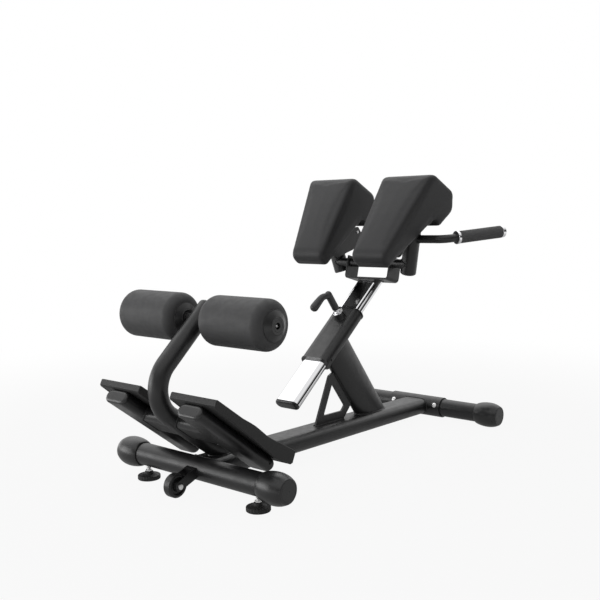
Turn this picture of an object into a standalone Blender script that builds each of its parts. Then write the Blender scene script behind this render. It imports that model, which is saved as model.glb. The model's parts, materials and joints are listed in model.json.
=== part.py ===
"""Back extension machine with sliding thigh pads, foam ankle rollers and a transport wheel.

Metres, +Z up, +X from the foot end to the pad end, +Y to the user's left. In the
sections below X is counted from the rear stabiliser's axis, and the empty that
carries every piece moves that axis so that the origin is under the middle.
"""
import math

import bmesh
import bpy
from mathutils import Matrix, Vector

# Where the rear stabiliser's axis lies from the middle of the machine.
REAR_AXIS_X = -0.46856
FIT_GAP = 0.0003

# Base frame.
STABILISER_RADIUS = 0.0301
STABILISER_WALL = 0.0025
REAR_AXIS_Z = 0.0667
REAR_TUBE_HALF = 0.285
WHEELBASE = 1.0587
FRONT_TUBE_HALF = 0.295
CAP_RADIUS = 0.0408
CAP_LENGTH = 0.081
CAP_CREST = 0.042
CAP_RIM_RADIUS = 0.0325
CAP_END_WALL = 0.018
CAP_FACE_RADIUS = 0.0290
CAP_FACE_EDGE = 0.003
CAP_TURN = math.radians(53)
SOCKET_RADIUS = 0.0343
SOCKET_HALF = 0.101
SCREW_OFFSET = 0.083
SCREW_ANGLE = math.radians(160)
SCREW_HEAD_RADIUS = 0.0078
SCREW_HEAD_HEIGHT = 0.004
SCREW_SHANK_RADIUS = 0.004
BEAM_HEIGHT = 0.052
BEAM_WIDTH = 0.105
BEAM_WALL = 0.003
BEAM_END_INSET = 0.010

# Column and slide sleeve. The column's length runs from the beam's axis to the slide axis.
SLIDE_ANGLE = math.radians(38.05)
COLUMN_FOOT_X = 0.7794
COLUMN_LENGTH = 0.3624
BEAM_FALL = (REAR_AXIS_Z - CAP_RADIUS) / WHEELBASE
COLUMN_FOOT_Z = REAR_AXIS_Z - COLUMN_FOOT_X * BEAM_FALL
SLEEVE_X = COLUMN_FOOT_X - COLUMN_LENGTH * math.sin(SLIDE_ANGLE)
SLEEVE_Z = COLUMN_FOOT_Z + COLUMN_LENGTH * math.cos(SLIDE_ANGLE)
SLEEVE_LOW = -0.094
SLEEVE_HIGH = 0.116
SLEEVE_WIDTH = 0.100
SLEEVE_THICK = 0.048
SLEEVE_WALL = 0.003
LINER_WALL = 0.0042
COLLAR_THICK = 0.0035
COLLAR_LIP = 0.002
COLUMN_DEPTH = 0.117
COLUMN_WIDTH = 0.054
COLUMN_WALL = 0.003
GUSSET_THICK = 0.008
GUSSET_REACH = 0.311
GUSSET_RISE = 0.286
GUSSET_FLANK = 0.021
GUSSET_TOP_FALL = 0.012
GUSSET_TOE = 0.174
GUSSET_HEEL = 0.135
GUSSET_RIM = 0.025

# Slide tube.
SLIDE_TUBE_WALL = 0.0025
SLIDE_TUBE_LOW = -0.262
PLUG_RIM = 0.004
PLUG_DOME = 0.004
PLUG_SPIGOT = 0.022

# Clamp.
BOSS_S = 0.078
BOSS_RADIUS = 0.0165
BOSS_HEIGHT = 0.018
CLAMP_SCREW_RADIUS = 0.006
CLAMP_NUT_RADIUS = 0.011
CLAMP_NUT_HEIGHT = 0.014
LEVER_NECK_RADIUS = 0.0105
LEVER_RISE = 0.065
LEVER_REACH = 0.062
LEVER_SWING = 0.012
LEVER_BORE_DEPTH = 0.024

# Leg station.
PLATE_SLOPE = math.radians(36.9)
PLATE_TOP_X = -0.1349
PLATE_TOP_Z = 0.2986
PLATE_INNER_Y = 0.057
PLATE_WIDTH = 0.1565
PLATE_LENGTH = 0.320
PLATE_THICK = 0.0192
PLATE_SKIRT = 0.005
PLATE_EDGE = 0.0015
SUPPORT_WIDTH = 0.080
SUPPORT_THICK = 0.036
SUPPORT_WALL = 0.0025
SUPPORT_AXIS_V = -(PLATE_THICK + FIT_GAP + SUPPORT_THICK / 2)
SUPPORT_Y = 0.1355
SUPPORT_LOW_U = 0.311
SUPPORT_TOP_U = 0.012
CROSS_WIDTH = 0.092
CROSS_U = 0.128
ARM_RADIUS = 0.025
ARM_BEND_RADIUS = 0.085
ARM_UPPER_ANGLE = math.radians(41.7)
ARM_TOP_REACH = 0.038
ARM_ROOT = 0.027
AXLE_X = 0.0114
AXLE_Z = 0.4556
AXLE_RADIUS = 0.0127
ROLLER_RADIUS = 0.0635
ROLLER_INNER_Y = 0.050
ROLLER_LENGTH = 0.208
ROLLER_SHOULDER = 0.024
FOAM_BORE = 0.025
HUB_RISE = 0.0105
HUB_FACE_RADIUS = 0.021
HUB_SPIGOT = 0.030
HUB_RUNNING_GAP = 0.0004
AXLE_SCREW_RADIUS = 0.0045

# Levelling feet and transport wheel.
FOOT_TO_CAP = 0.0177
FOOT_RADIUS = 0.0309
FOOT_RIM = 0.0115
FOOT_CUP_RADIUS = 0.0125
FOOT_CUP_TOP = 0.0215
STEM_RADIUS = 0.006
STEM_LENGTH = 0.052
WHEEL_X = -0.085
WHEEL_Z = 0.044
WHEEL_RADIUS = 0.0305
WHEEL_HALF = 0.012
WHEEL_BORE = 0.0054
WHEEL_BOLT_RADIUS = 0.005
FORK_INNER = 0.0135
FORK_PLATE = 0.004
FORK_WIDTH = 0.026

# Head: bracket, cross tube, posts, handles. Places are counted ahead of and above the sleeve's centre.
BRACKET_AHEAD = 0.214
BRACKET_TILT = math.radians(15)
BRACKET_LENGTH = 0.062
BRACKET_WIDTH = 0.170
BRACKET_PLATE = 0.006
BRACKET_HEIGHT = 0.076
CROSS_TUBE_RADIUS = 0.0145
CROSS_TUBE_RISE = 0.0560
CROSS_TUBE_BACK = 0.0123
POST_RADIUS = 0.025
POST_WALL = 0.0025
POST_FOOT_AHEAD = 0.232
POST_FOOT_Y = 0.1295
POST_FOOT_ABOVE = 0.1925
POST_LEAN_BACK = 0.149
POST_SPLAY = 0.235
HANDLE_RADIUS = 0.0125
HANDLE_ABOVE = 0.3025
HANDLE_BEND_Y = 0.268
HANDLE_BEND_RADIUS = 0.040
HANDLE_SPLAY = math.radians(25)
HANDLE_RISE = math.radians(5)
GRIP_START = 0.0435
GRIP_RADIUS = 0.0190
GRIP_LENGTH = 0.158
RING_RADIUS = 0.0205
RING_LENGTH = 0.009
GRIP_CAP_LENGTH = 0.012
GRIP_CAP_WALL = 0.004

# Pads, in a frame along the pad face: u up the face, depth behind it, and a corner radius.
PAD_FACE_ANGLE = math.radians(54)
PAD_FOOT_AHEAD = 0.027
PAD_FOOT_ABOVE = 0.2685
PAD_INNER_Y = 0.0545
PAD_FOOT_WIDTH = 0.127
PAD_FLARE = 0.200
PAD_EDGE_RADIUS = 0.013
PAD_CROWN = 0.004
PAD_FACE_FOOT = (-0.020, 0.0, 0.028)
PAD_FACE_HEAD = (0.2975, 0.0, 0.034)
PAD_HEAD_REAR = (0.3200, 0.1335, 0.034)
PAD_HEAD_LOW = (0.2745, 0.1800, 0.026)
PAD_SHOULDER = (0.206, 0.1610, 0.005)
PAD_HEEL = (0.1755, 0.1137, 0.004)
PAD_TOE = (-0.0225, 0.055, 0.018)
PAD_NOTCH_RADIUS = 0.016
PAD_NOTCH = (0.191, 0.134)
FLANGE_LENGTH = 0.143
FLANGE_WIDTH = 0.112
FLANGE_THICK = 0.006
FLANGE_INSET = 0.0135
WEB_THICK = 0.005
WEB_DEPTH = 0.070

# Places worked out from the sizes above.
BRACKET_X = SLEEVE_X + BRACKET_AHEAD
POST_FOOT_X = SLEEVE_X + POST_FOOT_AHEAD
POST_FOOT_Z = SLEEVE_Z + POST_FOOT_ABOVE
HANDLE_Z = SLEEVE_Z + HANDLE_ABOVE
PAD_FOOT_X = SLEEVE_X + PAD_FOOT_AHEAD
PAD_FOOT_Z = SLEEVE_Z + PAD_FOOT_ABOVE
CAP_MOUTH = FIT_GAP + CAP_END_WALL - CAP_LENGTH
FOOT_Y = REAR_TUBE_HALF + CAP_MOUTH - FOOT_TO_CAP

SIDES = (("left", 1), ("right", -1))
POWDER_BLACK = ((0.030, 0.030, 0.031), 0.42, 0.0)
CAP_BLACK = ((0.022, 0.022, 0.023), 0.35, 0.0)
RUBBER_BLACK = ((0.020, 0.020, 0.020), 0.70, 0.0)
FOAM_GREY = ((0.055, 0.055, 0.056), 0.75, 0.0)
PAD_BLACK = ((0.042, 0.042, 0.043), 0.55, 0.0)
GRIP_GREY = ((0.050, 0.050, 0.052), 0.80, 0.0)
CHROME = ((0.75, 0.75, 0.76), 0.12, 1.0)


def clear_scene():
    for thing in list(bpy.data.objects):
        bpy.data.objects.remove(thing, do_unlink=True)


def arc(centre, radius, start, end, steps):
    """Points on a circle arc, both ends included."""
    points = []
    for step in range(steps + 1):
        angle = start + (end - start) * step / steps
        points.append((centre[0] + radius * math.cos(angle), centre[1] + radius * math.sin(angle)))
    return points


def flat_oval(width, thick, steps=10):
    """Outline of a flat oval tube: two flats joined by half circles, wide along local Y."""
    radius = thick / 2
    reach = width / 2 - radius
    right = arc((0, -reach), radius, -math.pi, 0, steps)
    left = arc((0, reach), radius, 0, math.pi, steps)
    return right + left


def ellipse(width, height, steps=32):
    points = []
    for step in range(steps):
        angle = 2 * math.pi * step / steps
        points.append((width / 2 * math.cos(angle), height / 2 * math.sin(angle)))
    return points


def circle(radius, steps=32):
    return ellipse(2 * radius, 2 * radius, steps)


def rounded(corners, steps=5):
    """Outline through corners given as (x, y, fillet radius)."""
    points = []
    count = len(corners)
    for index, (x, y, radius) in enumerate(corners):
        corner = Vector((x, y))
        if radius == 0:
            points.append((x, y))
            continue
        before = (Vector(corners[index - 1][:2]) - corner).normalized()
        after = (Vector(corners[(index + 1) % count][:2]) - corner).normalized()
        half = before.angle(after) / 2
        centre = corner + (before + after).normalized() * radius / math.sin(half)
        tangent = radius / math.tan(half)
        first = corner + before * tangent - centre
        last = corner + after * tangent - centre
        turn = first.angle_signed(last)
        for step in range(steps + 1):
            spoke = first.copy()
            spoke.rotate(Matrix.Rotation(-turn * step / steps, 2))
            points.append(tuple(centre + spoke))
    return points


def skin(name, loops, closed=False):
    """Mesh through loops of equal length. The end loops are capped, or joined when closed."""
    shell = bmesh.new()
    rows = []
    for loop in loops:
        rows.append([shell.verts.new(point) for point in loop])
    pairs = list(zip(rows, rows[1:]))
    if closed:
        pairs.append((rows[-1], rows[0]))
    else:
        shell.faces.new(rows[0])
        shell.faces.new(rows[-1])
    for low, high in pairs:
        for index in range(len(low)):
            following = (index + 1) % len(low)
            shell.faces.new((low[index], low[following], high[following], high[index]))
    return finished(name, shell)


def finished(name, shell):
    bmesh.ops.recalc_face_normals(shell, faces=shell.faces[:])
    mesh = bpy.data.meshes.new(name)
    shell.to_mesh(mesh)
    shell.free()
    mesh.shade_smooth()
    mesh.set_sharp_from_angle(angle=math.radians(32))
    return mesh


def lifted(outline, height):
    return [(x, y, height) for x, y in outline]


def prism(name, outline, low, high):
    return skin(name, [lifted(outline, low), lifted(outline, high)])


def pipe(name, outer, inner, low, high):
    """Open tube between two outlines of equal length."""
    loops = [lifted(outer, low), lifted(outer, high), lifted(inner, high), lifted(inner, low)]
    return skin(name, loops, closed=True)


def turned(name, profile, steps=32, closed=False):
    """Profile of (radius, height) spun about local Z. It runs axis to axis unless closed."""
    shell = bmesh.new()
    verts = [shell.verts.new((radius, 0, height)) for radius, height in profile]
    ends = verts[1:] + ([verts[0]] if closed else [])
    edges = [shell.edges.new(pair) for pair in zip(verts, ends)]
    bmesh.ops.spin(shell, geom=verts + edges, cent=(0, 0, 0), axis=(0, 0, 1),
                   angle=2 * math.pi, steps=steps, use_merge=True)
    bmesh.ops.remove_doubles(shell, verts=shell.verts[:], dist=1e-6)
    return finished(name, shell)


def bent_tube(name, points, radius, resolution, widths=None):
    """Round solid bar along points; widths scale the radius at each point."""
    curve = bpy.data.curves.new(name, "CURVE")
    curve.dimensions = "3D"
    curve.bevel_depth = radius
    curve.bevel_resolution = resolution
    curve.use_fill_caps = True
    spline = curve.splines.new("POLY")
    spline.points.add(len(points) - 1)
    for index, point in enumerate(points):
        spline.points[index].co = (*point, 1)
        if widths:
            spline.points[index].radius = widths[index]
    guide = bpy.data.objects.new(name + "_guide", curve)
    bpy.context.scene.collection.objects.link(guide)
    mesh = bpy.data.meshes.new_from_object(guide)
    bpy.data.objects.remove(guide, do_unlink=True)
    shell = bmesh.new()
    shell.from_mesh(mesh)
    bmesh.ops.remove_doubles(shell, verts=shell.verts[:], dist=1e-6)
    return finished(name, shell)


def material(name, finish):
    colour, roughness, metallic = finish
    made = bpy.data.materials.new(name + "_finish")
    made.use_nodes = True
    shader = made.node_tree.nodes["Principled BSDF"]
    shader.inputs["Base Color"].default_value = (*colour, 1)
    shader.inputs["Roughness"].default_value = roughness
    shader.inputs["Metallic"].default_value = metallic
    made.diffuse_color = (*colour, 1)
    return made


def place(name, mesh, finish, location=(0, 0, 0), rotation=(0, 0, 0)):
    piece = bpy.data.objects.new(name, mesh)
    piece.location = location
    piece.rotation_euler = rotation
    piece.parent = bpy.data.objects["machine"]
    bpy.context.scene.collection.objects.link(piece)
    mesh.materials.append(material(name, finish))
    return piece


def cut(piece, mesh, location=(0, 0, 0), rotation=(0, 0, 0), operation="DIFFERENCE"):
    """Cut the piece by a hidden cutter, or join the cutter to it."""
    cutter = bpy.data.objects.new(piece.name + "_cutter", mesh)
    cutter.location = location
    cutter.rotation_euler = rotation
    cutter.parent = bpy.data.objects["machine"]
    cutter.hide_render = True
    cutter.display_type = "WIRE"
    bpy.context.scene.collection.objects.link(cutter)
    modifier = piece.modifiers.new("cut", "BOOLEAN")
    modifier.operation = operation
    modifier.solver = "EXACT"
    modifier.object = cutter
    return piece


def across(side=1):
    """Rotation that turns local +Z to world +Y on the left and to -Y on the right."""
    return (-side * math.pi / 2, 0, 0)


def slide_point(along, lateral=0.0, above=0.0):
    """World place of a point given along the slide axis, sideways and above it."""
    cosine, sine = math.cos(SLIDE_ANGLE), math.sin(SLIDE_ANGLE)
    return (SLEEVE_X + along * cosine - above * sine, lateral, SLEEVE_Z + along * sine + above * cosine)


SLIDE_TURN = (0, math.pi / 2 - SLIDE_ANGLE, 0)
COLUMN_TURN = (0, -SLIDE_ANGLE, 0)
BRACKET_TURN = (0, BRACKET_TILT, 0)
PAD_TURN = (0, -PAD_FACE_ANGLE, 0)


def plate_point(along, lateral, above):
    """World place of a point in the foot plates' frame: down the slope, sideways, off the tread."""
    cosine, sine = math.cos(PLATE_SLOPE), math.sin(PLATE_SLOPE)
    return (PLATE_TOP_X + along * cosine + above * sine, lateral, PLATE_TOP_Z - along * sine + above * cosine)


def pad_point(along, lateral, depth):
    """World place of a point up the pad face, sideways, and behind the face."""
    cosine, sine = math.cos(PAD_FACE_ANGLE), math.sin(PAD_FACE_ANGLE)
    return (PAD_FOOT_X + along * cosine + depth * sine, lateral, PAD_FOOT_Z + along * sine - depth * cosine)


def beam_solid(name, extra):
    """The main beam's outer form, grown by extra, along local Z."""
    outline = flat_oval(BEAM_WIDTH + 2 * extra, BEAM_HEIGHT + 2 * extra, 12)
    return prism(name, outline, BEAM_END_INSET, WHEELBASE - BEAM_END_INSET)


def beam_turn():
    return (0, math.pi / 2 + math.atan(BEAM_FALL), 0)


def column_solid(name, extra):
    outline = ellipse(COLUMN_DEPTH + 2 * extra, COLUMN_WIDTH + 2 * extra)
    return prism(name, outline, -COLUMN_LENGTH - COLUMN_DEPTH, 0)


def crossing(first, first_run, second, second_run):
    """Where two lines in one plane meet, each given by a point and a direction."""
    offset = second - first
    determinant = first_run.x * second_run.y - first_run.y * second_run.x
    return first + first_run * (offset.x * second_run.y - offset.y * second_run.x) / determinant


def sleeve_solid(name, extra):
    outline = flat_oval(SLEEVE_WIDTH + 2 * extra, SLEEVE_THICK + 2 * extra)
    return prism(name, outline, SLEEVE_LOW - 0.02, SLEEVE_HIGH + 0.02)


def support_solid(name, extra):
    outline = flat_oval(SUPPORT_WIDTH + 2 * extra, SUPPORT_THICK + 2 * extra)
    return prism(name, outline, SUPPORT_TOP_U, SUPPORT_LOW_U)


def rod(name, radius, low, high, steps=32):
    return prism(name, circle(radius, steps), low, high)


def end_cap(name, side, tube_half, axis_x, axis_z):
    """Bulbous cap that slips over a stabiliser's end, with a soft edged flat disc for an end face."""
    mouth = tube_half + CAP_MOUTH
    floor = tube_half + FIT_GAP
    crest = mouth + CAP_CREST
    end = mouth + CAP_LENGTH
    edge = CAP_FACE_EDGE
    rim = CAP_FACE_RADIUS + edge
    bore = STABILISER_RADIUS + FIT_GAP
    steps = 3
    profile = [(0, floor), (bore, floor), (bore, mouth)]
    for step in range(steps + 1):
        angle = math.pi / 2 * step / steps
        swell = (CAP_RADIUS - CAP_RIM_RADIUS) * math.sin(angle) ** 1.5
        profile.append((CAP_RIM_RADIUS + swell, crest - CAP_CREST * math.cos(angle)))
    for step in range(1, steps + 1):
        angle = CAP_TURN * step / steps
        fall = (CAP_RADIUS - rim) * (1 - math.cos(angle)) / (1 - math.cos(CAP_TURN))
        profile.append((CAP_RADIUS - fall, crest + (end - edge - crest) * math.sin(angle) / math.sin(CAP_TURN)))
    profile.extend([(rim - 0.3 * edge, end - 0.3 * edge), (rim - edge, end), (0, end)])
    place(name, turned(name, profile, 28), CAP_BLACK, (axis_x, 0, axis_z), across(side))


def rear_base():
    inner = STABILISER_RADIUS - STABILISER_WALL
    tube = pipe("rear_stabiliser", circle(STABILISER_RADIUS), circle(inner), -REAR_TUBE_HALF, REAR_TUBE_HALF)
    stabiliser = place("rear_stabiliser", tube, POWDER_BLACK, (0, 0, REAR_AXIS_Z), across())
    for name, side in SIDES:
        hole = rod("stem_hole", STEM_RADIUS + 2 * FIT_GAP, -REAR_AXIS_Z, 0, 16)
        cut(stabiliser, hole, (0, side * FOOT_Y, REAR_AXIS_Z))
        end_cap("rear_end_cap_" + name, side, REAR_TUBE_HALF, 0, REAR_AXIS_Z)


def front_base():
    inner = STABILISER_RADIUS - STABILISER_WALL
    half = FRONT_TUBE_HALF
    tube = pipe("front_stabiliser", circle(STABILISER_RADIUS), circle(inner), -half, half)
    place("front_stabiliser", tube, POWDER_BLACK, (WHEELBASE, 0, CAP_RADIUS), across())
    bore = circle(STABILISER_RADIUS + FIT_GAP)
    socket_tube = pipe("front_socket", circle(SOCKET_RADIUS), bore, -SOCKET_HALF, SOCKET_HALF)
    socket = place("front_socket", socket_tube, POWDER_BLACK, (WHEELBASE, 0, CAP_RADIUS), across())
    for name, side in SIDES:
        end_cap("front_end_cap_" + name, side, FRONT_TUBE_HALF, WHEELBASE, CAP_RADIUS)
        set_screw("front_screw_" + name, side, socket)


def set_screw(name, side, socket):
    """Chrome cap screw through the socket's wall, its tip short of the stabiliser."""
    lean = (0, math.pi / 2 - SCREW_ANGLE, 0)
    place_at = (WHEELBASE, side * SCREW_OFFSET, CAP_RADIUS)
    seat = SOCKET_RADIUS + FIT_GAP
    tip = STABILISER_RADIUS + FIT_GAP
    head = seat + SCREW_HEAD_HEIGHT
    dome = 0.0012
    profile = [(0, tip), (SCREW_SHANK_RADIUS, tip), (SCREW_SHANK_RADIUS, seat), (SCREW_HEAD_RADIUS, seat),
               (SCREW_HEAD_RADIUS, head - dome), (SCREW_HEAD_RADIUS - dome, head), (0, head)]
    place(name, turned(name, profile, 16), CHROME, place_at, lean)
    through = 0.004
    hole = rod("screw_hole", SCREW_SHANK_RADIUS + FIT_GAP, tip - through, seat + through, 16)
    cut(socket, hole, place_at, lean)


def main_beam():
    """Flat oval tube lying flat, coped over the rear stabiliser and the front socket."""
    outer = flat_oval(BEAM_WIDTH, BEAM_HEIGHT, 12)
    inner = flat_oval(BEAM_WIDTH - 2 * BEAM_WALL, BEAM_HEIGHT - 2 * BEAM_WALL, 12)
    tube = pipe("main_beam", outer, inner, BEAM_END_INSET, WHEELBASE - BEAM_END_INSET)
    beam = place("main_beam", tube, POWDER_BLACK, (0, 0, REAR_AXIS_Z), beam_turn())
    reach = BEAM_WIDTH
    cut(beam, rod("rear_cope", STABILISER_RADIUS + FIT_GAP, -reach, reach), (0, 0, REAR_AXIS_Z), across())
    cut(beam, rod("front_cope", SOCKET_RADIUS + FIT_GAP, -reach, reach), (WHEELBASE, 0, CAP_RADIUS), across())


def column():
    """Oval tube from the sleeve to the beam, trimmed at the beam's axis before its foot is coped."""
    outer = ellipse(COLUMN_DEPTH, COLUMN_WIDTH)
    inner = ellipse(COLUMN_DEPTH - 2 * COLUMN_WALL, COLUMN_WIDTH - 2 * COLUMN_WALL)
    spare = COLUMN_DEPTH
    tube = pipe("column", outer, inner, -COLUMN_LENGTH - spare, 0)
    post = place("column", tube, POWDER_BLACK, (SLEEVE_X, 0, SLEEVE_Z), COLUMN_TURN)
    cut(post, sleeve_solid("sleeve_form", FIT_GAP), (SLEEVE_X, 0, SLEEVE_Z), SLIDE_TURN)
    block = [(0, -spare), (3 * spare, -spare), (3 * spare, spare), (0, spare)]
    cut(post, prism("under_axis", block, 0, WHEELBASE), (0, 0, REAR_AXIS_Z), beam_turn())
    cut(post, beam_solid("beam_form", FIT_GAP), (0, 0, REAR_AXIS_Z), beam_turn())


def gusset():
    """Plate frame between the beam's crown and the column's rear face, its window one rim inside."""
    foot = Vector((COLUMN_FOOT_X, COLUMN_FOOT_Z))
    forward = Vector((1, -BEAM_FALL)).normalized()
    crown = Vector((BEAM_FALL, 1)).normalized() * BEAM_HEIGHT / 2
    upward = Vector((-math.sin(SLIDE_ANGLE), math.cos(SLIDE_ANGLE)))
    behind = Vector((-math.cos(SLIDE_ANGLE), -math.sin(SLIDE_ANGLE)))
    face = behind * COLUMN_DEPTH / 2
    root = 0.7
    rear_foot = foot - forward * GUSSET_REACH + crown * root
    rear_top = foot + upward * GUSSET_RISE + face + behind * GUSSET_FLANK
    column_top = foot + upward * (GUSSET_RISE - GUSSET_TOP_FALL) + face * root
    column_low = foot + upward * GUSSET_HEEL + face * root
    beam_foot = foot - forward * GUSSET_TOE + crown * root
    outline = [(*rear_foot, 0), (*rear_top, 0.006), (*column_top, 0), (*column_low, 0), (*beam_foot, 0)]
    edges = [(rear_foot, rear_top - rear_foot), (foot + face, -upward), (column_low, beam_foot - column_low),
             (foot + crown, -forward)]
    lines = []
    for start, run in edges:
        inward = Vector((run.y, -run.x)).normalized()
        lines.append((start + inward * GUSSET_RIM, run))
    window = []
    for index, line in enumerate(lines):
        window.append((*crossing(*lines[index - 1], *line), 0.004))
    half = GUSSET_THICK / 2
    turn = (math.pi / 2, 0, 0)
    plate = place("gusset", prism("gusset", rounded(outline, 4), -half, half), POWDER_BLACK, (0, 0, 0), turn)
    cut(plate, prism("gusset_window", rounded(window, 4), -GUSSET_THICK, GUSSET_THICK), (0, 0, 0), turn)
    cut(plate, column_solid("column_form", FIT_GAP), (SLEEVE_X, 0, SLEEVE_Z), COLUMN_TURN)
    cut(plate, beam_solid("beam_form", FIT_GAP), (0, 0, REAR_AXIS_Z), beam_turn())


def slide_sleeve():
    outer = flat_oval(SLEEVE_WIDTH, SLEEVE_THICK)
    inner = flat_oval(SLEEVE_WIDTH - 2 * SLEEVE_WALL, SLEEVE_THICK - 2 * SLEEVE_WALL)
    tube = pipe("slide_sleeve", outer, inner, SLEEVE_LOW, SLEEVE_HIGH)
    sleeve = place("slide_sleeve", tube, POWDER_BLACK, (SLEEVE_X, 0, SLEEVE_Z), SLIDE_TURN)
    cut(sleeve, clamp_hole(), slide_point(BOSS_S), COLUMN_TURN)


def clamp_hole():
    return rod("clamp_hole", CLAMP_SCREW_RADIUS + FIT_GAP, 0, SLEEVE_THICK, 16)


def tube_width():
    """Width and thickness of the slide tube, from the sleeve, its liner and the running gap."""
    inset = 2 * (SLEEVE_WALL + 2 * FIT_GAP + LINER_WALL)
    return SLEEVE_WIDTH - inset, SLEEVE_THICK - inset


def slide_liner():
    """Plastic bush through the sleeve, with a collar at each mouth."""
    inset = 2 * (SLEEVE_WALL + FIT_GAP)
    body = flat_oval(SLEEVE_WIDTH - inset, SLEEVE_THICK - inset)
    collar = flat_oval(SLEEVE_WIDTH + 2 * COLLAR_LIP, SLEEVE_THICK + COLLAR_LIP)
    width, thick = tube_width()
    bore = flat_oval(width + 2 * FIT_GAP, thick + 2 * FIT_GAP)
    low, high = SLEEVE_LOW - FIT_GAP, SLEEVE_HIGH + FIT_GAP
    loops = [lifted(collar, low - COLLAR_THICK), lifted(collar, low), lifted(body, low), lifted(body, high),
             lifted(collar, high), lifted(collar, high + COLLAR_THICK), lifted(bore, high + COLLAR_THICK),
             lifted(bore, low - COLLAR_THICK)]
    mesh = skin("slide_liner", loops, closed=True)
    liner = place("slide_liner", mesh, CAP_BLACK, (SLEEVE_X, 0, SLEEVE_Z), SLIDE_TURN)
    cut(liner, clamp_hole(), slide_point(BOSS_S), COLUMN_TURN)


def clamp():
    """Boss, chrome screw and bent lever on the sleeve's upper flat."""
    face = SLEEVE_THICK / 2 + FIT_GAP
    top = face + BOSS_HEIGHT
    bore = CLAMP_SCREW_RADIUS + FIT_GAP
    bevel = 0.002
    wide = BOSS_RADIUS
    ring = [(bore, face), (wide, face), (wide, top - bevel), (wide - bevel, top), (bore, top)]
    boss = turned("clamp_boss", ring, 20, closed=True)
    place("clamp_boss", boss, POWDER_BLACK, slide_point(BOSS_S), COLUMN_TURN)
    tip = tube_width()[1] / 2 + FIT_GAP
    nut = top + 2 * FIT_GAP
    nut_top = nut + CLAMP_NUT_HEIGHT
    radius = CLAMP_SCREW_RADIUS
    wide = CLAMP_NUT_RADIUS
    screw = [(0, tip), (radius, tip), (radius, nut), (wide - 0.001, nut), (wide, nut + 0.001),
             (wide, nut + 0.005), (wide - 0.002, nut + 0.006), (wide - 0.002, nut_top - 0.001),
             (wide - 0.003, nut_top), (radius, nut_top), (radius, nut_top + LEVER_BORE_DEPTH - FIT_GAP),
             (0, nut_top + LEVER_BORE_DEPTH - FIT_GAP)]
    place("clamp_screw", turned("clamp_screw", screw, 16), CHROME, slide_point(BOSS_S), COLUMN_TURN)
    clamp_lever(nut_top + FIT_GAP)


def clamp_lever(foot):
    """Black moulded lever: a domed neck that stands on the screw and a thick arm down the sleeve."""
    radius = LEVER_NECK_RADIUS
    top = foot + LEVER_RISE
    shoulder = top - 0.0055
    neck = [(0, foot), (radius * 0.93, foot), (radius, foot + 0.002), (radius, shoulder)]
    neck.extend(arc((0, shoulder), radius, 0, math.pi / 2, 4)[1:-1])
    neck.append((0, shoulder + radius))
    lever = place("clamp_lever", turned("clamp_lever", neck, 20), CAP_BLACK, slide_point(BOSS_S), COLUMN_TURN)
    knots = [(0.0, 0.0, top - 0.012), (-0.011, 0.001, top - 0.002), (-0.024, 0.004, top + 0.0045),
             (-0.041, 0.008, top + 0.003), (-LEVER_REACH, LEVER_SWING, top)]
    path = smooth_path([Vector(knot) for knot in knots], 3)
    outward = (path[-1] - path[-2]).normalized()
    swell = (0.70, 0.76, 0.80, 0.84, 0.87, 0.90, 0.94, 0.98, 1.03, 1.08, 1.12, 1.16, 1.20)
    ends = (0.006, 0.0105, 0.0125)
    path.extend([path[-1] + outward * reach for reach in ends])
    widths = [*swell, 1.15, 0.82, 0.48]
    cut(lever, bent_tube("lever_arm", path, radius, 4, widths), slide_point(BOSS_S), COLUMN_TURN, "UNION")
    bore = rod("lever_bore", CLAMP_SCREW_RADIUS + FIT_GAP, foot - 0.01, foot + LEVER_BORE_DEPTH, 20)
    cut(lever, bore, slide_point(BOSS_S), COLUMN_TURN)


def smooth_path(knots, steps):
    """Catmull-Rom curve through the knots."""
    path = []
    padded = [2 * knots[0] - knots[1], *knots, 2 * knots[-1] - knots[-2]]
    for index in range(1, len(padded) - 2):
        before, start, end, after = padded[index - 1:index + 3]
        for step in range(steps):
            t = step / steps
            cubic = (2 * start + (end - before) * t + (2 * before - 5 * start + 4 * end - after) * t ** 2
                     + (3 * start - before - 3 * end + after) * t ** 3)
            path.append(cubic / 2)
    path.append(knots[-1])
    return path


def foot_supports():
    """Two flat oval tubes under the plates, closed at the low end, plugged at the top."""
    above = SUPPORT_AXIS_V
    outer = flat_oval(SUPPORT_WIDTH, SUPPORT_THICK)
    inner = flat_oval(SUPPORT_WIDTH - 2 * SUPPORT_WALL, SUPPORT_THICK - 2 * SUPPORT_WALL)
    shrink = 0.005
    rim = flat_oval(SUPPORT_WIDTH - shrink, SUPPORT_THICK - shrink)
    draw_in = 2 * (SUPPORT_WALL + FIT_GAP)
    spigot = flat_oval(SUPPORT_WIDTH - draw_in, SUPPORT_THICK - draw_in)
    turn = (0, math.pi / 2 + PLATE_SLOPE, 0)
    for name, side in SIDES:
        loops = [lifted(rim, SUPPORT_LOW_U), lifted(outer, SUPPORT_LOW_U - shrink),
                 lifted(outer, SUPPORT_TOP_U), lifted(inner, SUPPORT_TOP_U),
                 lifted(inner, SUPPORT_LOW_U - shrink - SUPPORT_WALL)]
        tube = skin("foot_support_" + name, loops)
        origin = plate_point(0, side * SUPPORT_Y, above)
        place("foot_support_" + name, tube, POWDER_BLACK, origin, turn)
        place_plug("support_plug_" + name, outer, spigot, SUPPORT_TOP_U - FIT_GAP, origin, turn)
        cross_piece("foot_cross_" + name, side, above)


def scaled(outline, inset, width, thick):
    """Outline drawn in by inset on every side."""
    return [(x * (1 - 2 * inset / thick), y * (1 - 2 * inset / width)) for x, y in outline]


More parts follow.
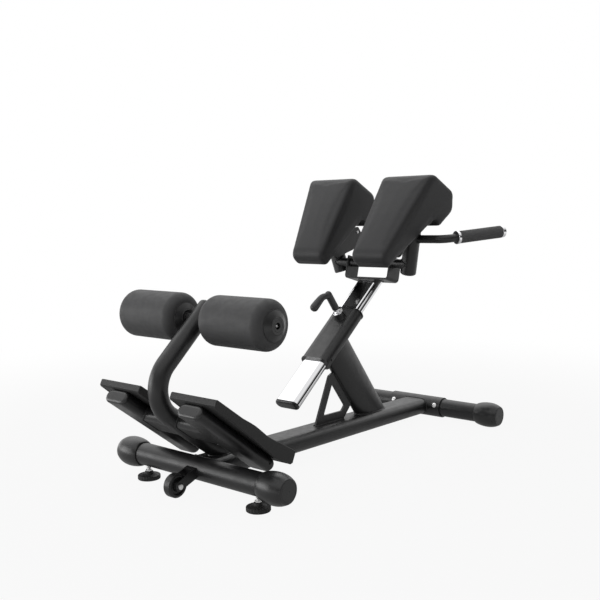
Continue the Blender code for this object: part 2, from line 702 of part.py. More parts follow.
def place_plug(name, rim, spigot, seat, origin, turn):
    """Domed end plug: a rim flush with the tube, a dome, and a spigot inside."""
    width = max(y for x, y in rim) * 2
    thick = max(x for x, y in rim) * 2
    loops = [lifted(spigot, seat + PLUG_SPIGOT), lifted(spigot, seat), lifted(rim, seat),
             lifted(rim, seat - PLUG_RIM * 0.6),
             lifted(scaled(rim, 0.0016, width, thick), seat - PLUG_RIM - PLUG_DOME * 0.4),
             lifted(scaled(rim, 0.005, width, thick), seat - PLUG_RIM - PLUG_DOME * 0.9),
             lifted(scaled(rim, 0.009, width, thick), seat - PLUG_RIM - PLUG_DOME)]
    place(name, skin(name, loops), CAP_BLACK, origin, turn)


def cross_turn(side):
    """Turn of a piece that runs sideways under the plates, square to their slope."""
    tilt = Matrix.Rotation(PLATE_SLOPE, 3, "Y") @ Matrix.Rotation(-side * math.pi / 2, 3, "X")
    return tilt.to_euler()


def cross_solid(name, extra):
    outline = flat_oval(CROSS_WIDTH + 2 * extra, SUPPORT_THICK + 2 * extra, 8)
    reach = SUPPORT_Y - SUPPORT_WIDTH / 2 + SUPPORT_THICK / 2
    return prism(name, [(y, x) for x, y in outline], 0, reach)


def cross_piece(name, side, above):
    """Flat oval stub from the arm's flank to the support's flank."""
    stub = place(name, cross_solid(name, 0), POWDER_BLACK, plate_point(CROSS_U, 0, above), cross_turn(side))
    along = (0, math.pi / 2 + PLATE_SLOPE, 0)
    cut(stub, rod("arm_form", ARM_RADIUS + FIT_GAP, 0, SUPPORT_LOW_U), plate_point(0, 0, above), along)
    cut(stub, support_solid("support_form", FIT_GAP), plate_point(0, side * SUPPORT_Y, above), along)


def roller_arm():
    """Round tube from the axle, bent back down and forward under the plates to the beam."""
    above = SUPPORT_AXIS_V
    low = Vector(plate_point(SUPPORT_LOW_U + ARM_ROOT, 0, above))
    down = Vector((math.cos(PLATE_SLOPE), 0, -math.sin(PLATE_SLOPE)))
    up = Vector((math.cos(ARM_UPPER_ANGLE), 0, math.sin(ARM_UPPER_ANGLE)))
    axle = Vector((AXLE_X, 0, AXLE_Z))
    meeting = crossing(low.xz, down.xz, axle.xz, up.xz)
    corner = Vector((meeting.x, 0, meeting.y))
    half = up.angle(down) / 2
    tangent = ARM_BEND_RADIUS / math.tan(half)
    centre = corner + (up + down).normalized() * ARM_BEND_RADIUS / math.sin(half)
    path = [low]
    first = corner + down * tangent - centre
    last = corner + up * tangent - centre
    sweep = first.angle(last)
    steps = 12
    for step in range(steps + 1):
        spoke = first.copy()
        spoke.rotate(Matrix.Rotation(sweep * step / steps, 3, "Y"))
        path.append(centre + spoke)
    path.append(axle)
    top = axle + up * ARM_TOP_REACH
    path.extend([top, top + up * 0.005, top + up * 0.009])
    widths = [1] * (len(path) - 2) + [0.93, 0.70]
    arm = place("roller_arm", bent_tube("roller_arm", path, ARM_RADIUS, 8, widths), POWDER_BLACK)
    cut(arm, beam_solid("beam_form", FIT_GAP), (0, 0, REAR_AXIS_Z), beam_turn())
    cut(arm, rod("axle_bore", AXLE_RADIUS + FIT_GAP, -2 * ARM_RADIUS, 2 * ARM_RADIUS, 24), axle, across())


def foot_plates():
    """Moulded plates: ribbed tread, swell at mid length, kicked-up low end, tapered skirt below."""
    length = PLATE_LENGTH
    skirt = 0.0105
    tread = [(0.0, 0.0), (0.052, 0.0008), (0.100, 0.0018), (0.128, 0.0045), (0.150, 0.0060), (0.176, 0.0052),
             (0.203, 0.0038), (0.232, 0.0062), (0.262, 0.0108), (length - 0.001, 0.0175)]
    low_end = [(length + 0.004, 0.0150), (length + 0.0095, -0.0130), (length + 0.004, -0.0190),
               (0.290, -0.0265), (0.262, -PLATE_THICK - skirt)]
    top_end = [(0.004, -PLATE_THICK), (-0.0005, -0.0160), (-0.003, -0.003)]
    profile = [(along, above) for along, above in tread + low_end + top_end]
    turn = (0, PLATE_SLOPE, 0)
    for name, side in SIDES:
        inner = side * PLATE_INNER_Y
        outer = side * (PLATE_INNER_Y + PLATE_WIDTH)
        ease = side * PLATE_EDGE
        drawn = shrunk(profile, PLATE_EDGE)
        loops = [[(x, inner, z) for x, z in drawn], [(x, inner + ease, z) for x, z in profile],
                 [(x, outer - ease, z) for x, z in profile], [(x, outer, z) for x, z in drawn]]
        node = "foot_plate_" + name
        plate = place(node, skin(node, loops), RUBBER_BLACK, plate_point(0, 0, 0), turn)
        middle = side * (PLATE_INNER_Y + PLATE_WIDTH / 2)
        half = PLATE_WIDTH / 2 - PLATE_SKIRT
        outline = [(0.006, -half), (length, -half), (length, half), (0.006, half)]
        hollow = prism("skirt_hollow", outline, -PLATE_THICK - 0.03, -PLATE_THICK)
        cut(plate, hollow, plate_point(0, middle, 0), turn)
        notch = cross_solid("cross_form", FIT_GAP)
        cut(plate, notch, plate_point(CROSS_U, 0, SUPPORT_AXIS_V), cross_turn(side))


def shrunk(profile, inset):
    """Closed profile drawn in along its corner normals."""
    drawn = []
    count = len(profile)
    for index, point in enumerate(profile):
        before = Vector(profile[index - 1])
        after = Vector(profile[(index + 1) % count])
        here = Vector(point)
        first = (here - before).normalized()
        second = (after - here).normalized()
        normal = Vector((first.y + second.y, -first.x - second.x)).normalized()
        drawn.append(tuple(here + normal * inset))
    return drawn


def rollers():
    """Axle through the arm; on each side a foam roller with a hub in each end."""
    outer_face = ROLLER_INNER_Y + ROLLER_LENGTH
    axle_half = outer_face - 0.003
    hole = AXLE_SCREW_RADIUS * 0.8
    floor = axle_half - 0.020
    profile = [(0, -floor), (hole, -floor), (hole, -axle_half), (AXLE_RADIUS, -axle_half),
               (AXLE_RADIUS, axle_half), (hole, axle_half), (hole, floor), (0, floor)]
    centre = (AXLE_X, 0, AXLE_Z)
    place("roller_axle", turned("roller_axle", profile, 20), POWDER_BLACK, centre, across())
    for name, side in SIDES:
        node = "foam_roller_" + name
        place(node, turned(node, foam_profile(), 28, closed=True), FOAM_GREY, centre, across(side))
        node = "hub_inner_" + name
        place(node, turned(node, inner_hub(), 20, closed=True), CAP_BLACK, centre, across(side))
        node = "hub_outer_" + name
        place(node, turned(node, outer_hub(axle_half), 20, closed=True), CAP_BLACK, centre, across(side))
        node = "axle_screw_" + name
        place(node, turned(node, axle_screw(axle_half), 16), CHROME, centre, across(side))


def foam_profile():
    start = ROLLER_INNER_Y
    end = ROLLER_INNER_Y + ROLLER_LENGTH
    flat = ROLLER_RADIUS - ROLLER_SHOULDER
    profile = [(FOAM_BORE, start), (flat, start)]
    steps = 4
    centre = (flat, start + ROLLER_SHOULDER)
    profile.extend(arc(centre, ROLLER_SHOULDER, -math.pi / 2, 0, steps)[1:])
    centre = (flat, end - ROLLER_SHOULDER)
    profile.extend(arc(centre, ROLLER_SHOULDER, 0, math.pi / 2, steps))
    profile.append((FOAM_BORE, end))
    return profile


def inner_hub():
    """Cone towards the arm, spigot in the foam, bored for the axle."""
    seat = ROLLER_INNER_Y - FIT_GAP
    base = ROLLER_RADIUS - ROLLER_SHOULDER
    bore = AXLE_RADIUS + HUB_RUNNING_GAP
    spigot = FOAM_BORE - FIT_GAP
    return [(bore, seat + HUB_SPIGOT), (spigot, seat + HUB_SPIGOT), (spigot, seat), (base, seat),
            (base, seat - 0.0012), (HUB_FACE_RADIUS, seat - HUB_RISE), (bore, seat - HUB_RISE)]


def outer_hub(axle_half):
    """Cone away from the arm with a closed face and a hole for the axle screw."""
    seat = ROLLER_INNER_Y + ROLLER_LENGTH + FIT_GAP
    base = ROLLER_RADIUS - ROLLER_SHOULDER
    bore = AXLE_RADIUS + HUB_RUNNING_GAP
    spigot = FOAM_BORE - FIT_GAP
    hole = AXLE_SCREW_RADIUS + 0.0012
    floor = axle_half + FIT_GAP
    return [(bore, seat - HUB_SPIGOT), (spigot, seat - HUB_SPIGOT), (spigot, seat), (base, seat),
            (base, seat + 0.0012), (HUB_FACE_RADIUS, seat + HUB_RISE), (hole, seat + HUB_RISE), (hole, floor),
            (bore, floor)]


def axle_screw(axle_half):
    """Screw in the axle's end, its head inside the hub's hole."""
    shank = AXLE_SCREW_RADIUS * 0.8 - FIT_GAP
    seat = axle_half + FIT_GAP
    head = AXLE_SCREW_RADIUS
    return [(0, seat - 0.016), (shank, seat - 0.016), (shank, seat), (head, seat), (head, seat + 0.005),
            (head - 0.0015, seat + 0.0065), (0, seat + 0.0065)]


def levelling_feet():
    for name, side in SIDES:
        centre = (0, side * FOOT_Y, 0)
        bevel = 0.002
        bore = STEM_RADIUS + FIT_GAP
        floor = FOOT_RIM * 0.6
        disc = [(0, 0), (FOOT_RADIUS - bevel, 0), (FOOT_RADIUS, bevel), (FOOT_RADIUS, FOOT_RIM - bevel),
                (FOOT_RADIUS - bevel, FOOT_RIM), (FOOT_CUP_RADIUS + 0.006, FOOT_RIM + 0.002),
                (FOOT_CUP_RADIUS, FOOT_RIM + 0.005), (FOOT_CUP_RADIUS - 0.002, FOOT_CUP_TOP),
                (bore, FOOT_CUP_TOP), (bore, floor), (0, floor)]
        node = "foot_disc_" + name
        place(node, turned(node, disc, 24), RUBBER_BLACK, centre)
        nut = FOOT_CUP_TOP + FIT_GAP
        base = floor + FIT_GAP
        top = base + STEM_LENGTH
        stem = [(0, base), (STEM_RADIUS, base), (STEM_RADIUS, nut), (STEM_RADIUS + 0.003, nut),
                (STEM_RADIUS + 0.003, nut + 0.004), (STEM_RADIUS, nut + 0.0055), (STEM_RADIUS, top), (0, top)]
        node = "foot_stem_" + name
        place(node, turned(node, stem, 16), CHROME, centre)


def transport_wheel():
    """Moulded wheel on a bolt in a fork of two straps that reach back from the stabiliser."""
    rim = WHEEL_RADIUS
    hub = 0.0125
    web = 0.006
    half = WHEEL_HALF
    edge = 0.004
    profile = [(WHEEL_BORE, -half), (hub, -half), (hub + 0.002, -web), (rim - 0.009, -web),
               (rim - 0.007, -half + 0.001), (rim - edge, -half), (rim - 0.001, -half + edge), (rim, 0),
               (rim - 0.001, half - edge), (rim - edge, half), (rim - 0.007, half - 0.001),
               (rim - 0.009, web), (hub + 0.002, web), (hub, half), (WHEEL_BORE, half)]
    centre = (WHEEL_X, 0, WHEEL_Z)
    mesh = turned("transport_wheel", profile, 20, closed=True)
    place("transport_wheel", mesh, RUBBER_BLACK, centre, across())
    outer = FORK_INNER + FORK_PLATE + FIT_GAP
    bolt = WHEEL_BOLT_RADIUS
    head = 0.0075
    axle = [(0, -outer - 0.005), (head - 0.0015, -outer - 0.005), (head, -outer - 0.0035), (head, -outer),
            (bolt, -outer), (bolt, outer), (head, outer), (head, outer + 0.004), (head - 0.001, outer + 0.005),
            (bolt, outer + 0.0055), (0, outer + 0.0055)]
    place("wheel_bolt", turned("wheel_bolt", axle, 12), CHROME, centre, across())
    wheel_fork(centre)


def wheel_fork(centre):
    lean = math.atan2(REAR_AXIS_Z + 0.008 - WHEEL_Z, -WHEEL_X)
    half = FORK_WIDTH / 2
    reach = -WHEEL_X
    outline = [(reach, -half), (reach, half)] + arc((0, 0), half, math.pi / 2, 3 * math.pi / 2, 10)
    turn = (math.pi / 2, -lean, 0)
    outer = FORK_INNER + FORK_PLATE
    fork = place("wheel_fork", prism("wheel_fork", outline, -outer, outer), POWDER_BLACK, centre, turn)
    slot = rounded([(-half - 0.01, -half - 0.01, 0), (0.052, -half - 0.01, 0), (0.052, half + 0.01, 0),
                    (-half - 0.01, half + 0.01, 0)])
    cut(fork, prism("fork_slot", slot, -FORK_INNER, FORK_INNER), centre, turn)
    cut(fork, rod("bolt_hole", WHEEL_BOLT_RADIUS + FIT_GAP, -2 * outer, 2 * outer, 16), centre, across())
    cut(fork, rod("tube_form", STABILISER_RADIUS + FIT_GAP, -0.05, 0.05), (0, 0, REAR_AXIS_Z), across())


def bracket_origin():
    """Centre of the bracket plate's underside, on the slide axis."""
    along = (BRACKET_X - SLEEVE_X) / math.cos(SLIDE_ANGLE)
    return Vector(slide_point(along))


def bracket_point(along, above):
    turn = Matrix.Rotation(BRACKET_TILT, 3, "Y")
    return bracket_origin() + turn @ Vector((along, 0, above))


def cross_tube_centre():
    return bracket_point(-CROSS_TUBE_BACK, CROSS_TUBE_RISE)


def slide_tube():
    width, thick = tube_width()
    outer = flat_oval(width, thick)
    inner = flat_oval(width - 2 * SLIDE_TUBE_WALL, thick - 2 * SLIDE_TUBE_WALL)
    high = (BRACKET_X - SLEEVE_X) / math.cos(SLIDE_ANGLE) + 0.05
    origin = (SLEEVE_X, 0, SLEEVE_Z)
    mesh = pipe("slide_tube", outer, inner, SLIDE_TUBE_LOW, high)
    tube = place("slide_tube", mesh, CHROME, origin, SLIDE_TURN)
    half = BRACKET_WIDTH
    block = rounded([(-half, -half, 0), (half, -half, 0), (half, half, 0), (-half, half, 0)])
    cut(tube, prism("bracket_side", block, -FIT_GAP, 0.2), bracket_origin(), BRACKET_TURN)
    gap = 2 * SLIDE_TUBE_WALL + 2 * FIT_GAP
    spigot = flat_oval(width - gap, thick - gap)
    place_plug("slide_tube_plug", outer, spigot, SLIDE_TUBE_LOW - FIT_GAP, origin, SLIDE_TURN)


def head_bracket():
    """U channel: a base plate on the slide tube and two ears that hold the cross tube."""
    half = BRACKET_WIDTH / 2
    wall = BRACKET_PLATE
    top = BRACKET_HEIGHT
    bend = 0.012
    outer = [(-half, top, 0), (-half, 0, bend), (half, 0, bend), (half, top, 0)]
    inner = [(half - wall, top, 0), (half - wall, wall, bend - wall), (-half + wall, wall, bend - wall),
             (-half + wall, top, 0)]
    outline = rounded(outer + inner, 4)
    depth = BRACKET_LENGTH / 2
    loops = [[(-depth, y, z) for y, z in outline], [(depth, y, z) for y, z in outline]]
    mesh = skin("head_bracket", loops)
    bracket = place("head_bracket", mesh, POWDER_BLACK, bracket_origin(), BRACKET_TURN)
    hole = rod("cross_tube_hole", CROSS_TUBE_RADIUS + FIT_GAP, -BRACKET_WIDTH, BRACKET_WIDTH, 24)
    cut(bracket, hole, cross_tube_centre(), across())


def post_direction(side):
    return Vector((-POST_LEAN_BACK, side * POST_SPLAY, 1)).normalized()


def post_place(side, height):
    rise = height - POST_FOOT_Z
    return Vector((POST_FOOT_X - POST_LEAN_BACK * rise, side * (POST_FOOT_Y + POST_SPLAY * rise), height))


def post_turn(side):
    return post_direction(side).to_track_quat("Z", "Y").to_euler()


def pad_back_turn():
    """Turn of a frame on the pad's back face: X up the face, Z into the pad."""
    rise = (PAD_HEEL[1] - PAD_TOE[1]) / (PAD_HEEL[0] - PAD_TOE[0])
    return (0, -(PAD_FACE_ANGLE - math.atan(rise)), 0)


def pad_heel_point(lateral=0.0):
    return pad_point(PAD_HEEL[0], lateral, PAD_HEEL[1])


def posts():
    """Two splayed tubes under the pads, closed at the foot, cut to the pad brackets on top."""
    block = rounded([(-0.3, -0.3, 0), (0.1, -0.3, 0), (0.1, 0.3, 0), (-0.3, 0.3, 0)])
    ease = 0.003
    length = 0.20
    for name, side in SIDES:
        outer = circle(POST_RADIUS, 24)
        inner = circle(POST_RADIUS - POST_WALL, 24)
        foot = circle(POST_RADIUS - ease, 24)
        loops = [lifted(foot, 0), lifted(outer, ease), lifted(outer, length), lifted(inner, length),
                 lifted(inner, ease + POST_WALL)]
        node = "head_post_" + name
        post = place(node, skin(node, loops), POWDER_BLACK, post_place(side, POST_FOOT_Z), post_turn(side))
        top = prism("flange_side", block, -FLANGE_THICK - 2 * FIT_GAP, 0.3)
        cut(post, top, pad_heel_point(), pad_back_turn())


def cross_tube():
    reach = post_place(1, cross_tube_centre().z).y
    bar = rod("cross_tube", CROSS_TUBE_RADIUS, -reach, reach, 24)
    tube = place("cross_tube", bar, POWDER_BLACK, cross_tube_centre(), across())
    for name, side in SIDES:
        form = rod("post_form", POST_RADIUS + FIT_GAP, -0.05, 0.2, 24)
        cut(tube, form, post_place(side, POST_FOOT_Z), post_turn(side))


def handle_axis(side):
    """Direction of the grip."""
    splay, rise = HANDLE_SPLAY, HANDLE_RISE
    flat = Vector((math.cos(splay), side * math.sin(splay), 0)) * math.cos(rise)
    return flat + Vector((0, 0, math.sin(rise)))


def handle_corner(side):
    start = post_place(side, HANDLE_Z)
    return Vector((start.x, side * HANDLE_BEND_Y, HANDLE_Z))


def handles():
    """Bent tubes welded to the posts, with a ringed grip on each."""
    steps = 8
    for name, side in SIDES:
        start = post_place(side, HANDLE_Z)
        corner = handle_corner(side)
        back = (start - corner).normalized()
        out = handle_axis(side)
        half = back.angle(out) / 2
        tangent = HANDLE_BEND_RADIUS / math.tan(half)
        centre = corner + (back + out).normalized() * HANDLE_BEND_RADIUS / math.sin(half)
        first = corner + back * tangent - centre
        last = corner + out * tangent - centre
        axis = first.cross(last).normalized()
        sweep = first.angle(last)
        path = [start]
        for step in range(steps + 1):
            path.append(centre + Matrix.Rotation(sweep * step / steps, 3, axis) @ first)
        path.append(corner + out * bar_reach())
        node = "handle_" + name
        bar = place(node, bent_tube(node, path, HANDLE_RADIUS, 6), POWDER_BLACK)
        form = rod("post_form", POST_RADIUS + FIT_GAP, -0.05, 0.2, 24)
        cut(bar, form, post_place(side, POST_FOOT_Z), post_turn(side))
        grip_parts(name, corner, out)


def grip_parts(name, corner, out):
    turn = out.to_track_quat("Z", "Y").to_euler()
    bore = HANDLE_RADIUS + FIT_GAP
    start = GRIP_START + RING_LENGTH + FIT_GAP
    end = start + GRIP_LENGTH
    ease = 0.001
    wide = GRIP_RADIUS
    grip = [(bore, start), (wide - ease, start), (wide, start + ease), (wide, end - ease), (wide - ease, end),
            (bore, end)]
    place("grip_" + name, turned("grip", grip, 24, closed=True), GRIP_GREY, corner, turn)
    low, high = GRIP_START, GRIP_START + RING_LENGTH
    wide = RING_RADIUS
    ring = [(bore, low), (wide - 2 * ease, low), (wide, low + 2 * ease), (wide, high - ease),
            (wide - ease, high), (bore, high)]
    place("grip_ring_" + name, turned("grip_ring", ring, 20, closed=True), CHROME, corner, turn)
    low = end + FIT_GAP
    high = low + GRIP_CAP_LENGTH
    inside = high - GRIP_CAP_WALL
    cap = [(0, inside), (bore, inside), (bore, low), (wide - ease, low), (wide, low + ease),
           (wide, high - 0.003), (wide - 0.003, high), (0, high)]
    place("grip_end_" + name, turned("grip_end", cap, 20), CHROME, corner, turn)


def bar_reach():
    """How far from the bend's corner the handle's bar ends, a gap short of the bottom of its end cap."""
    return GRIP_START + RING_LENGTH + GRIP_LENGTH + FIT_GAP + GRIP_CAP_LENGTH - GRIP_CAP_WALL


def pad_brackets():
    """Flange under each pad with a web on its inner edge."""
    turn = pad_back_turn()
    thick = FLANGE_THICK
    for name, side in SIDES:
        near = FLANGE_LENGTH + 0.003
        inner = side * (PAD_INNER_Y + FLANGE_INSET)
        outer = inner + side * FLANGE_WIDTH
        corner = 0.008
        outline = [(-near, inner, 0), (-0.003, inner, 0), (-0.003, outer, corner), (-near, outer, corner)]
        if side < 0:
            outline.reverse()
        node = "pad_bracket_" + name
        flange = prism(node, rounded(outline, 3), -FIT_GAP - thick, -FIT_GAP)
        bracket = place(node, flange, POWDER_BLACK, pad_heel_point(), turn)
        web = [(-near, -0.004, 0), (-near, -0.016, 0), (-0.019, -WEB_DEPTH, 0.004), (0.014, -0.038, 0.004),
               (0.0125, -0.0135, 0.002), (-0.003, -0.004, 0)]
        profile = rounded(web, 3)
        loops = [[(x, inner, z) for x, z in profile], [(x, inner + side * WEB_THICK, z) for x, z in profile]]
        cut(bracket, skin("web", loops), pad_heel_point(), turn, "UNION")


def pad_outline():
    """Closed side profile as (u, depth) points, and how far each may be drawn in."""
    corners = [PAD_FACE_FOOT, PAD_FACE_HEAD, PAD_HEAD_REAR, PAD_HEAD_LOW, PAD_SHOULDER, PAD_HEEL, PAD_TOE]
    steps = (4, 5, 4, 3, 1, 1, 3)
    points = []
    count = len(corners)
    for index, (x, y, radius) in enumerate(corners):
        ring = [corners[index - 1], corners[index], corners[(index + 1) % count]]
        only = [(*ring[0][:2], 0), (x, y, radius), (*ring[2][:2], 0)]
        fillet = rounded(only, steps[index])[1:-1]
        reach = min(radius, PAD_EDGE_RADIUS)
        points.extend((u, depth, reach) for u, depth in fillet)
    return points


def filled(points, longest=0.045):
    """The same outline with long sides divided."""
    dense = []
    count = len(points)
    for index, here in enumerate(points):
        after = points[(index + 1) % count]
        length = math.hypot(after[0] - here[0], after[1] - here[1])
        parts = max(1, math.ceil(length / longest))
        for part in range(parts):
            dense.append(tuple(Vector(here).lerp(Vector(after), part / parts)))
    return dense


def pad_station(outline, draw, swell):
    """One side profile of the pad as (x, z, width there); draw pulls it in, swell crowns the face."""
    loop = []
    count = len(outline)
    top = PAD_FACE_HEAD[0]
    for index, (u, depth, reach) in enumerate(outline):
        before = Vector(outline[index - 1][:2])
        after = Vector(outline[(index + 1) % count][:2])
        run = (after - before).normalized()
        inward = Vector((-run.y, run.x))
        bulge = 0.0
        if depth < 0.02 and 0 < u < top:
            bulge = PAD_CROWN * swell * math.sin(math.pi * u / top)
        shifted = Vector((u, depth)) + inward * (draw * reach) + Vector((0, -bulge))
        width = PAD_FOOT_WIDTH + PAD_FLARE * max(u, 0)
        loop.append((shifted.x, -shifted.y, width))
    return loop


def pads():
    """Moulded wedge pads: flat crowned face, flared outer side, heavy head, notched underside."""
    outline = filled(pad_outline())
    edge = PAD_EDGE_RADIUS
    stations = []
    rounds = 4
    for step in range(rounds + 1):
        angle = math.pi / 2 * step / rounds
        stations.append((0.0, edge * (1 - math.cos(angle)), 1 - math.sin(angle), 0.0))
    for share in (0.25, 0.5, 0.75):
        stations.append((share, 0.0, 0.0, math.sin(math.pi * share)))
    for step in range(rounds, -1, -1):
        angle = math.pi / 2 * step / rounds
        stations.append((1.0, -edge * (1 - math.cos(angle)), 1 - math.sin(angle), 0.0))
    for name, side in SIDES:
        loops = []
        for share, inset, draw, swell in stations:
            loop = []
            for x, z, width in pad_station(outline, draw, swell):
                loop.append((x, side * (PAD_INNER_Y + share * width + inset), z))
            loops.append(loop)
        node = "pad_" + name
        pad = place(node, skin(node, loops), PAD_BLACK, (PAD_FOOT_X, 0, PAD_FOOT_Z), PAD_TURN)
        groove = rod("pad_notch", PAD_NOTCH_RADIUS, -0.3, 0.3, 16)
        cut(pad, groove, pad_point(PAD_NOTCH[0], 0, PAD_NOTCH[1]), across())


def build():
    clear_scene()
    machine = bpy.data.objects.new("machine", None)
    machine.location = (REAR_AXIS_X, 0, 0)
    bpy.context.scene.collection.objects.link(machine)
    rear_base()
    front_base()
    main_beam()
    column()
    gusset()
    slide_sleeve()
    slide_liner()
    clamp()
    foot_supports()
    roller_arm()
    foot_plates()
    rollers()
    levelling_feet()
    transport_wheel()
    slide_tube()
    head_bracket()
    posts()
    cross_tube()
    handles()
    pad_brackets()
    pads()
    bpy.context.view_layer.update()


build()
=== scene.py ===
import json
import math
import bpy
import bmesh
from mathutils import Matrix, Vector, noise
from mathutils.bvhtree import BVHTree

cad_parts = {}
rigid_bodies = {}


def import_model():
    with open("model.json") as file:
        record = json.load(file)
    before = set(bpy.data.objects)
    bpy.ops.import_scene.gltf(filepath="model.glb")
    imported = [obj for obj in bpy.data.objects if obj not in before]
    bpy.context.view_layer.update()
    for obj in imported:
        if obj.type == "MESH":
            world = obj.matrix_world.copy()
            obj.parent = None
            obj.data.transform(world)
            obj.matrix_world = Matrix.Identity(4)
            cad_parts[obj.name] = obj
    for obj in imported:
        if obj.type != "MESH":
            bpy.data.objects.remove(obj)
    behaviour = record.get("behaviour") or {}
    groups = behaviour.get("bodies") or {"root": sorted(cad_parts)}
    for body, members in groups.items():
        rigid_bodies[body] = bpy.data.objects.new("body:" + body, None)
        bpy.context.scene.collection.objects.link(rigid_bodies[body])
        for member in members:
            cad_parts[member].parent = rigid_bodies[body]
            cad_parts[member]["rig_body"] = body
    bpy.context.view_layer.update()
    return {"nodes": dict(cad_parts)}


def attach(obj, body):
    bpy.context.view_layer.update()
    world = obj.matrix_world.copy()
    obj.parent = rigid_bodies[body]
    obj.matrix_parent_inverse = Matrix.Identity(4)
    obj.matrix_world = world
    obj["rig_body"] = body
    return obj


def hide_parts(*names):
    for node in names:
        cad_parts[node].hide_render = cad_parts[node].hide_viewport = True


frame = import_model()
nodes = frame["nodes"]


# The studio is a plain pale floor in a white room, with soft lamps above and beside the machine.
# The camera stands where the photograph was taken: behind the foot end, on the near side,
# a little higher than the leg rollers.
class Port:
    """An output of a node. Sums and products of ports add Math nodes."""

    def __init__(self, kit, socket):
        self.kit = kit
        self.socket = socket

    def maths(self, operation, *values):
        return self.kit.node("ShaderNodeMath", {"operation": operation}, dict(enumerate(values)))

    def __add__(self, other):
        return self.maths("ADD", self, other)

    def __sub__(self, other):
        return self.maths("SUBTRACT", self, other)

    def __rsub__(self, other):
        return self.maths("SUBTRACT", other, self)

    def __mul__(self, other):
        return self.maths("MULTIPLY", self, other)

    __radd__ = __add__
    __rmul__ = __mul__

    def ramp(self, low, high, bottom=0.0, top=1.0):
        """Smooth rise from bottom to top as the value goes from low to high."""
        settings = {"interpolation_type": "SMOOTHSTEP"}
        sockets = {"Value": self, "From Min": low, "From Max": high, "To Min": bottom, "To Max": top}
        return self.kit.node("ShaderNodeMapRange", settings, sockets)


class Kit:
    """The nodes of one material or of the world."""

    def __init__(self, tree):
        self.tree = tree

    def node(self, kind, settings, sockets, output=0):
        """A node of this kind, with its settings made before its sockets are filled."""
        made = self.tree.nodes.new(kind)
        for name, value in settings.items():
            setattr(made, name, value)
        self.wire(made, sockets)
        return Port(self, made.outputs[output])

    def wire(self, made, sockets):
        for name, value in sockets.items():
            if isinstance(value, Port):
                self.tree.links.new(value.socket, made.inputs[name])
            else:
                made.inputs[name].default_value = value

    def light_path(self, ray):
        """1 for rays of this kind, else 0."""
        return self.node("ShaderNodeLightPath", {}, {}, output="Is " + ray + " Ray")


scene = bpy.context.scene
scene.view_settings.view_transform = "Standard"
CAMERA_PLACE = (-1.89012, -1.54333, 0.71)
YAW = math.radians(40.0968)
PITCH = math.radians(5.7626)
ROLL = math.radians(0.8352)
lens = bpy.data.cameras.new("camera")
lens.lens = 49.59
lens.sensor_width = 36
camera = bpy.data.objects.new("camera", lens)
scene.collection.objects.link(camera)
aimed = Matrix.Rotation(YAW - math.pi / 2, 4, "Z") @ Matrix.Rotation(math.pi / 2 - PITCH, 4, "X")
camera.matrix_world = Matrix.Translation(CAMERA_PLACE) @ aimed @ Matrix.Rotation(-ROLL, 4, "Z")
scene.camera = camera

# The steel mirrors a bright wall ahead of the camera, a low window on the camera's left and the ceiling.
AHEAD_EAST = 0.765
AHEAD_NORTH = 0.644
AMBIENT = 0.22
world = bpy.data.worlds.new("white_room")
world.use_nodes = True
scene.world = world
room = Kit(world.node_tree)
direction = room.node("ShaderNodeTexCoord", {}, {})
axes = room.node("ShaderNodeSeparateXYZ", {}, {0: direction}).socket.node.outputs
east = Port(room, axes["X"])
north = Port(room, axes["Y"])
height = Port(room, axes["Z"])
ahead = east * AHEAD_EAST + north * AHEAD_NORTH
across = north * AHEAD_EAST - east * AHEAD_NORTH
backdrop = ahead.ramp(-0.1, 0.6) * 0.9
window = across.ramp(0.25, 0.75) * height.ramp(0.04, 0.22, 1.0, 0.0) * 1.6
ceiling = height.ramp(0.3, 0.75) * (0.95 + north.ramp(0.1, 0.6) * 0.3)
walls = backdrop + window + ceiling + ahead.ramp(-0.9, -0.3, 0.22, 0.03)
camera_ray = room.light_path("Camera")
glossy_ray = room.light_path("Glossy")
ambient = (1 - camera_ray) * (1 - glossy_ray) * AMBIENT
strength = camera_ray + glossy_ray * walls + ambient
room.wire(world.node_tree.nodes["Background"], {"Color": (1, 1, 1, 1), "Strength": strength})

FLOOR_RADIUS = 14
FLOOR_DROP = 0.0006
floor_shell = bmesh.new()
bmesh.ops.create_circle(floor_shell, cap_ends=True, segments=64, radius=FLOOR_RADIUS)
bmesh.ops.translate(floor_shell, verts=floor_shell.verts, vec=(0, 0, -FLOOR_DROP))
floor_mesh = bpy.data.meshes.new("floor")
floor_shell.to_mesh(floor_mesh)
floor_shell.free()
floor = bpy.data.objects.new("floor", floor_mesh)
scene.collection.objects.link(floor)
floor_paint = bpy.data.materials.new("pale_floor")
floor_paint.use_nodes = True
paint = Kit(floor_paint.node_tree)
shader = floor_paint.node_tree.nodes["Principled BSDF"]
paint.wire(shader, {"Base Color": (0.42, 0.42, 0.42, 1), "Roughness": 0.9, "Specular IOR Level": 0.2})
glow = paint.node("ShaderNodeEmission", {}, {"Color": (1, 1, 1, 1), "Strength": 1.0})
spot = paint.node("ShaderNodeTexCoord", {}, {}, output="Object")
distance = paint.node("ShaderNodeVectorMath", {"operation": "LENGTH"}, {0: spot}, output="Value")
mirrored = paint.light_path("Glossy") * distance.ramp(1.0, 2.2, 0.42, 0.92)
share = distance.ramp(0.9, 2.6, 0.92, 1.0) * (paint.light_path("Camera") + mirrored)
lit = Port(paint, shader.outputs[0])
mixed = paint.node("ShaderNodeMixShader", {}, {0: share, 1: lit, 2: glow})
paint.wire(floor_paint.node_tree.nodes["Material Output"], {"Surface": mixed})
floor_mesh.materials.append(floor_paint)

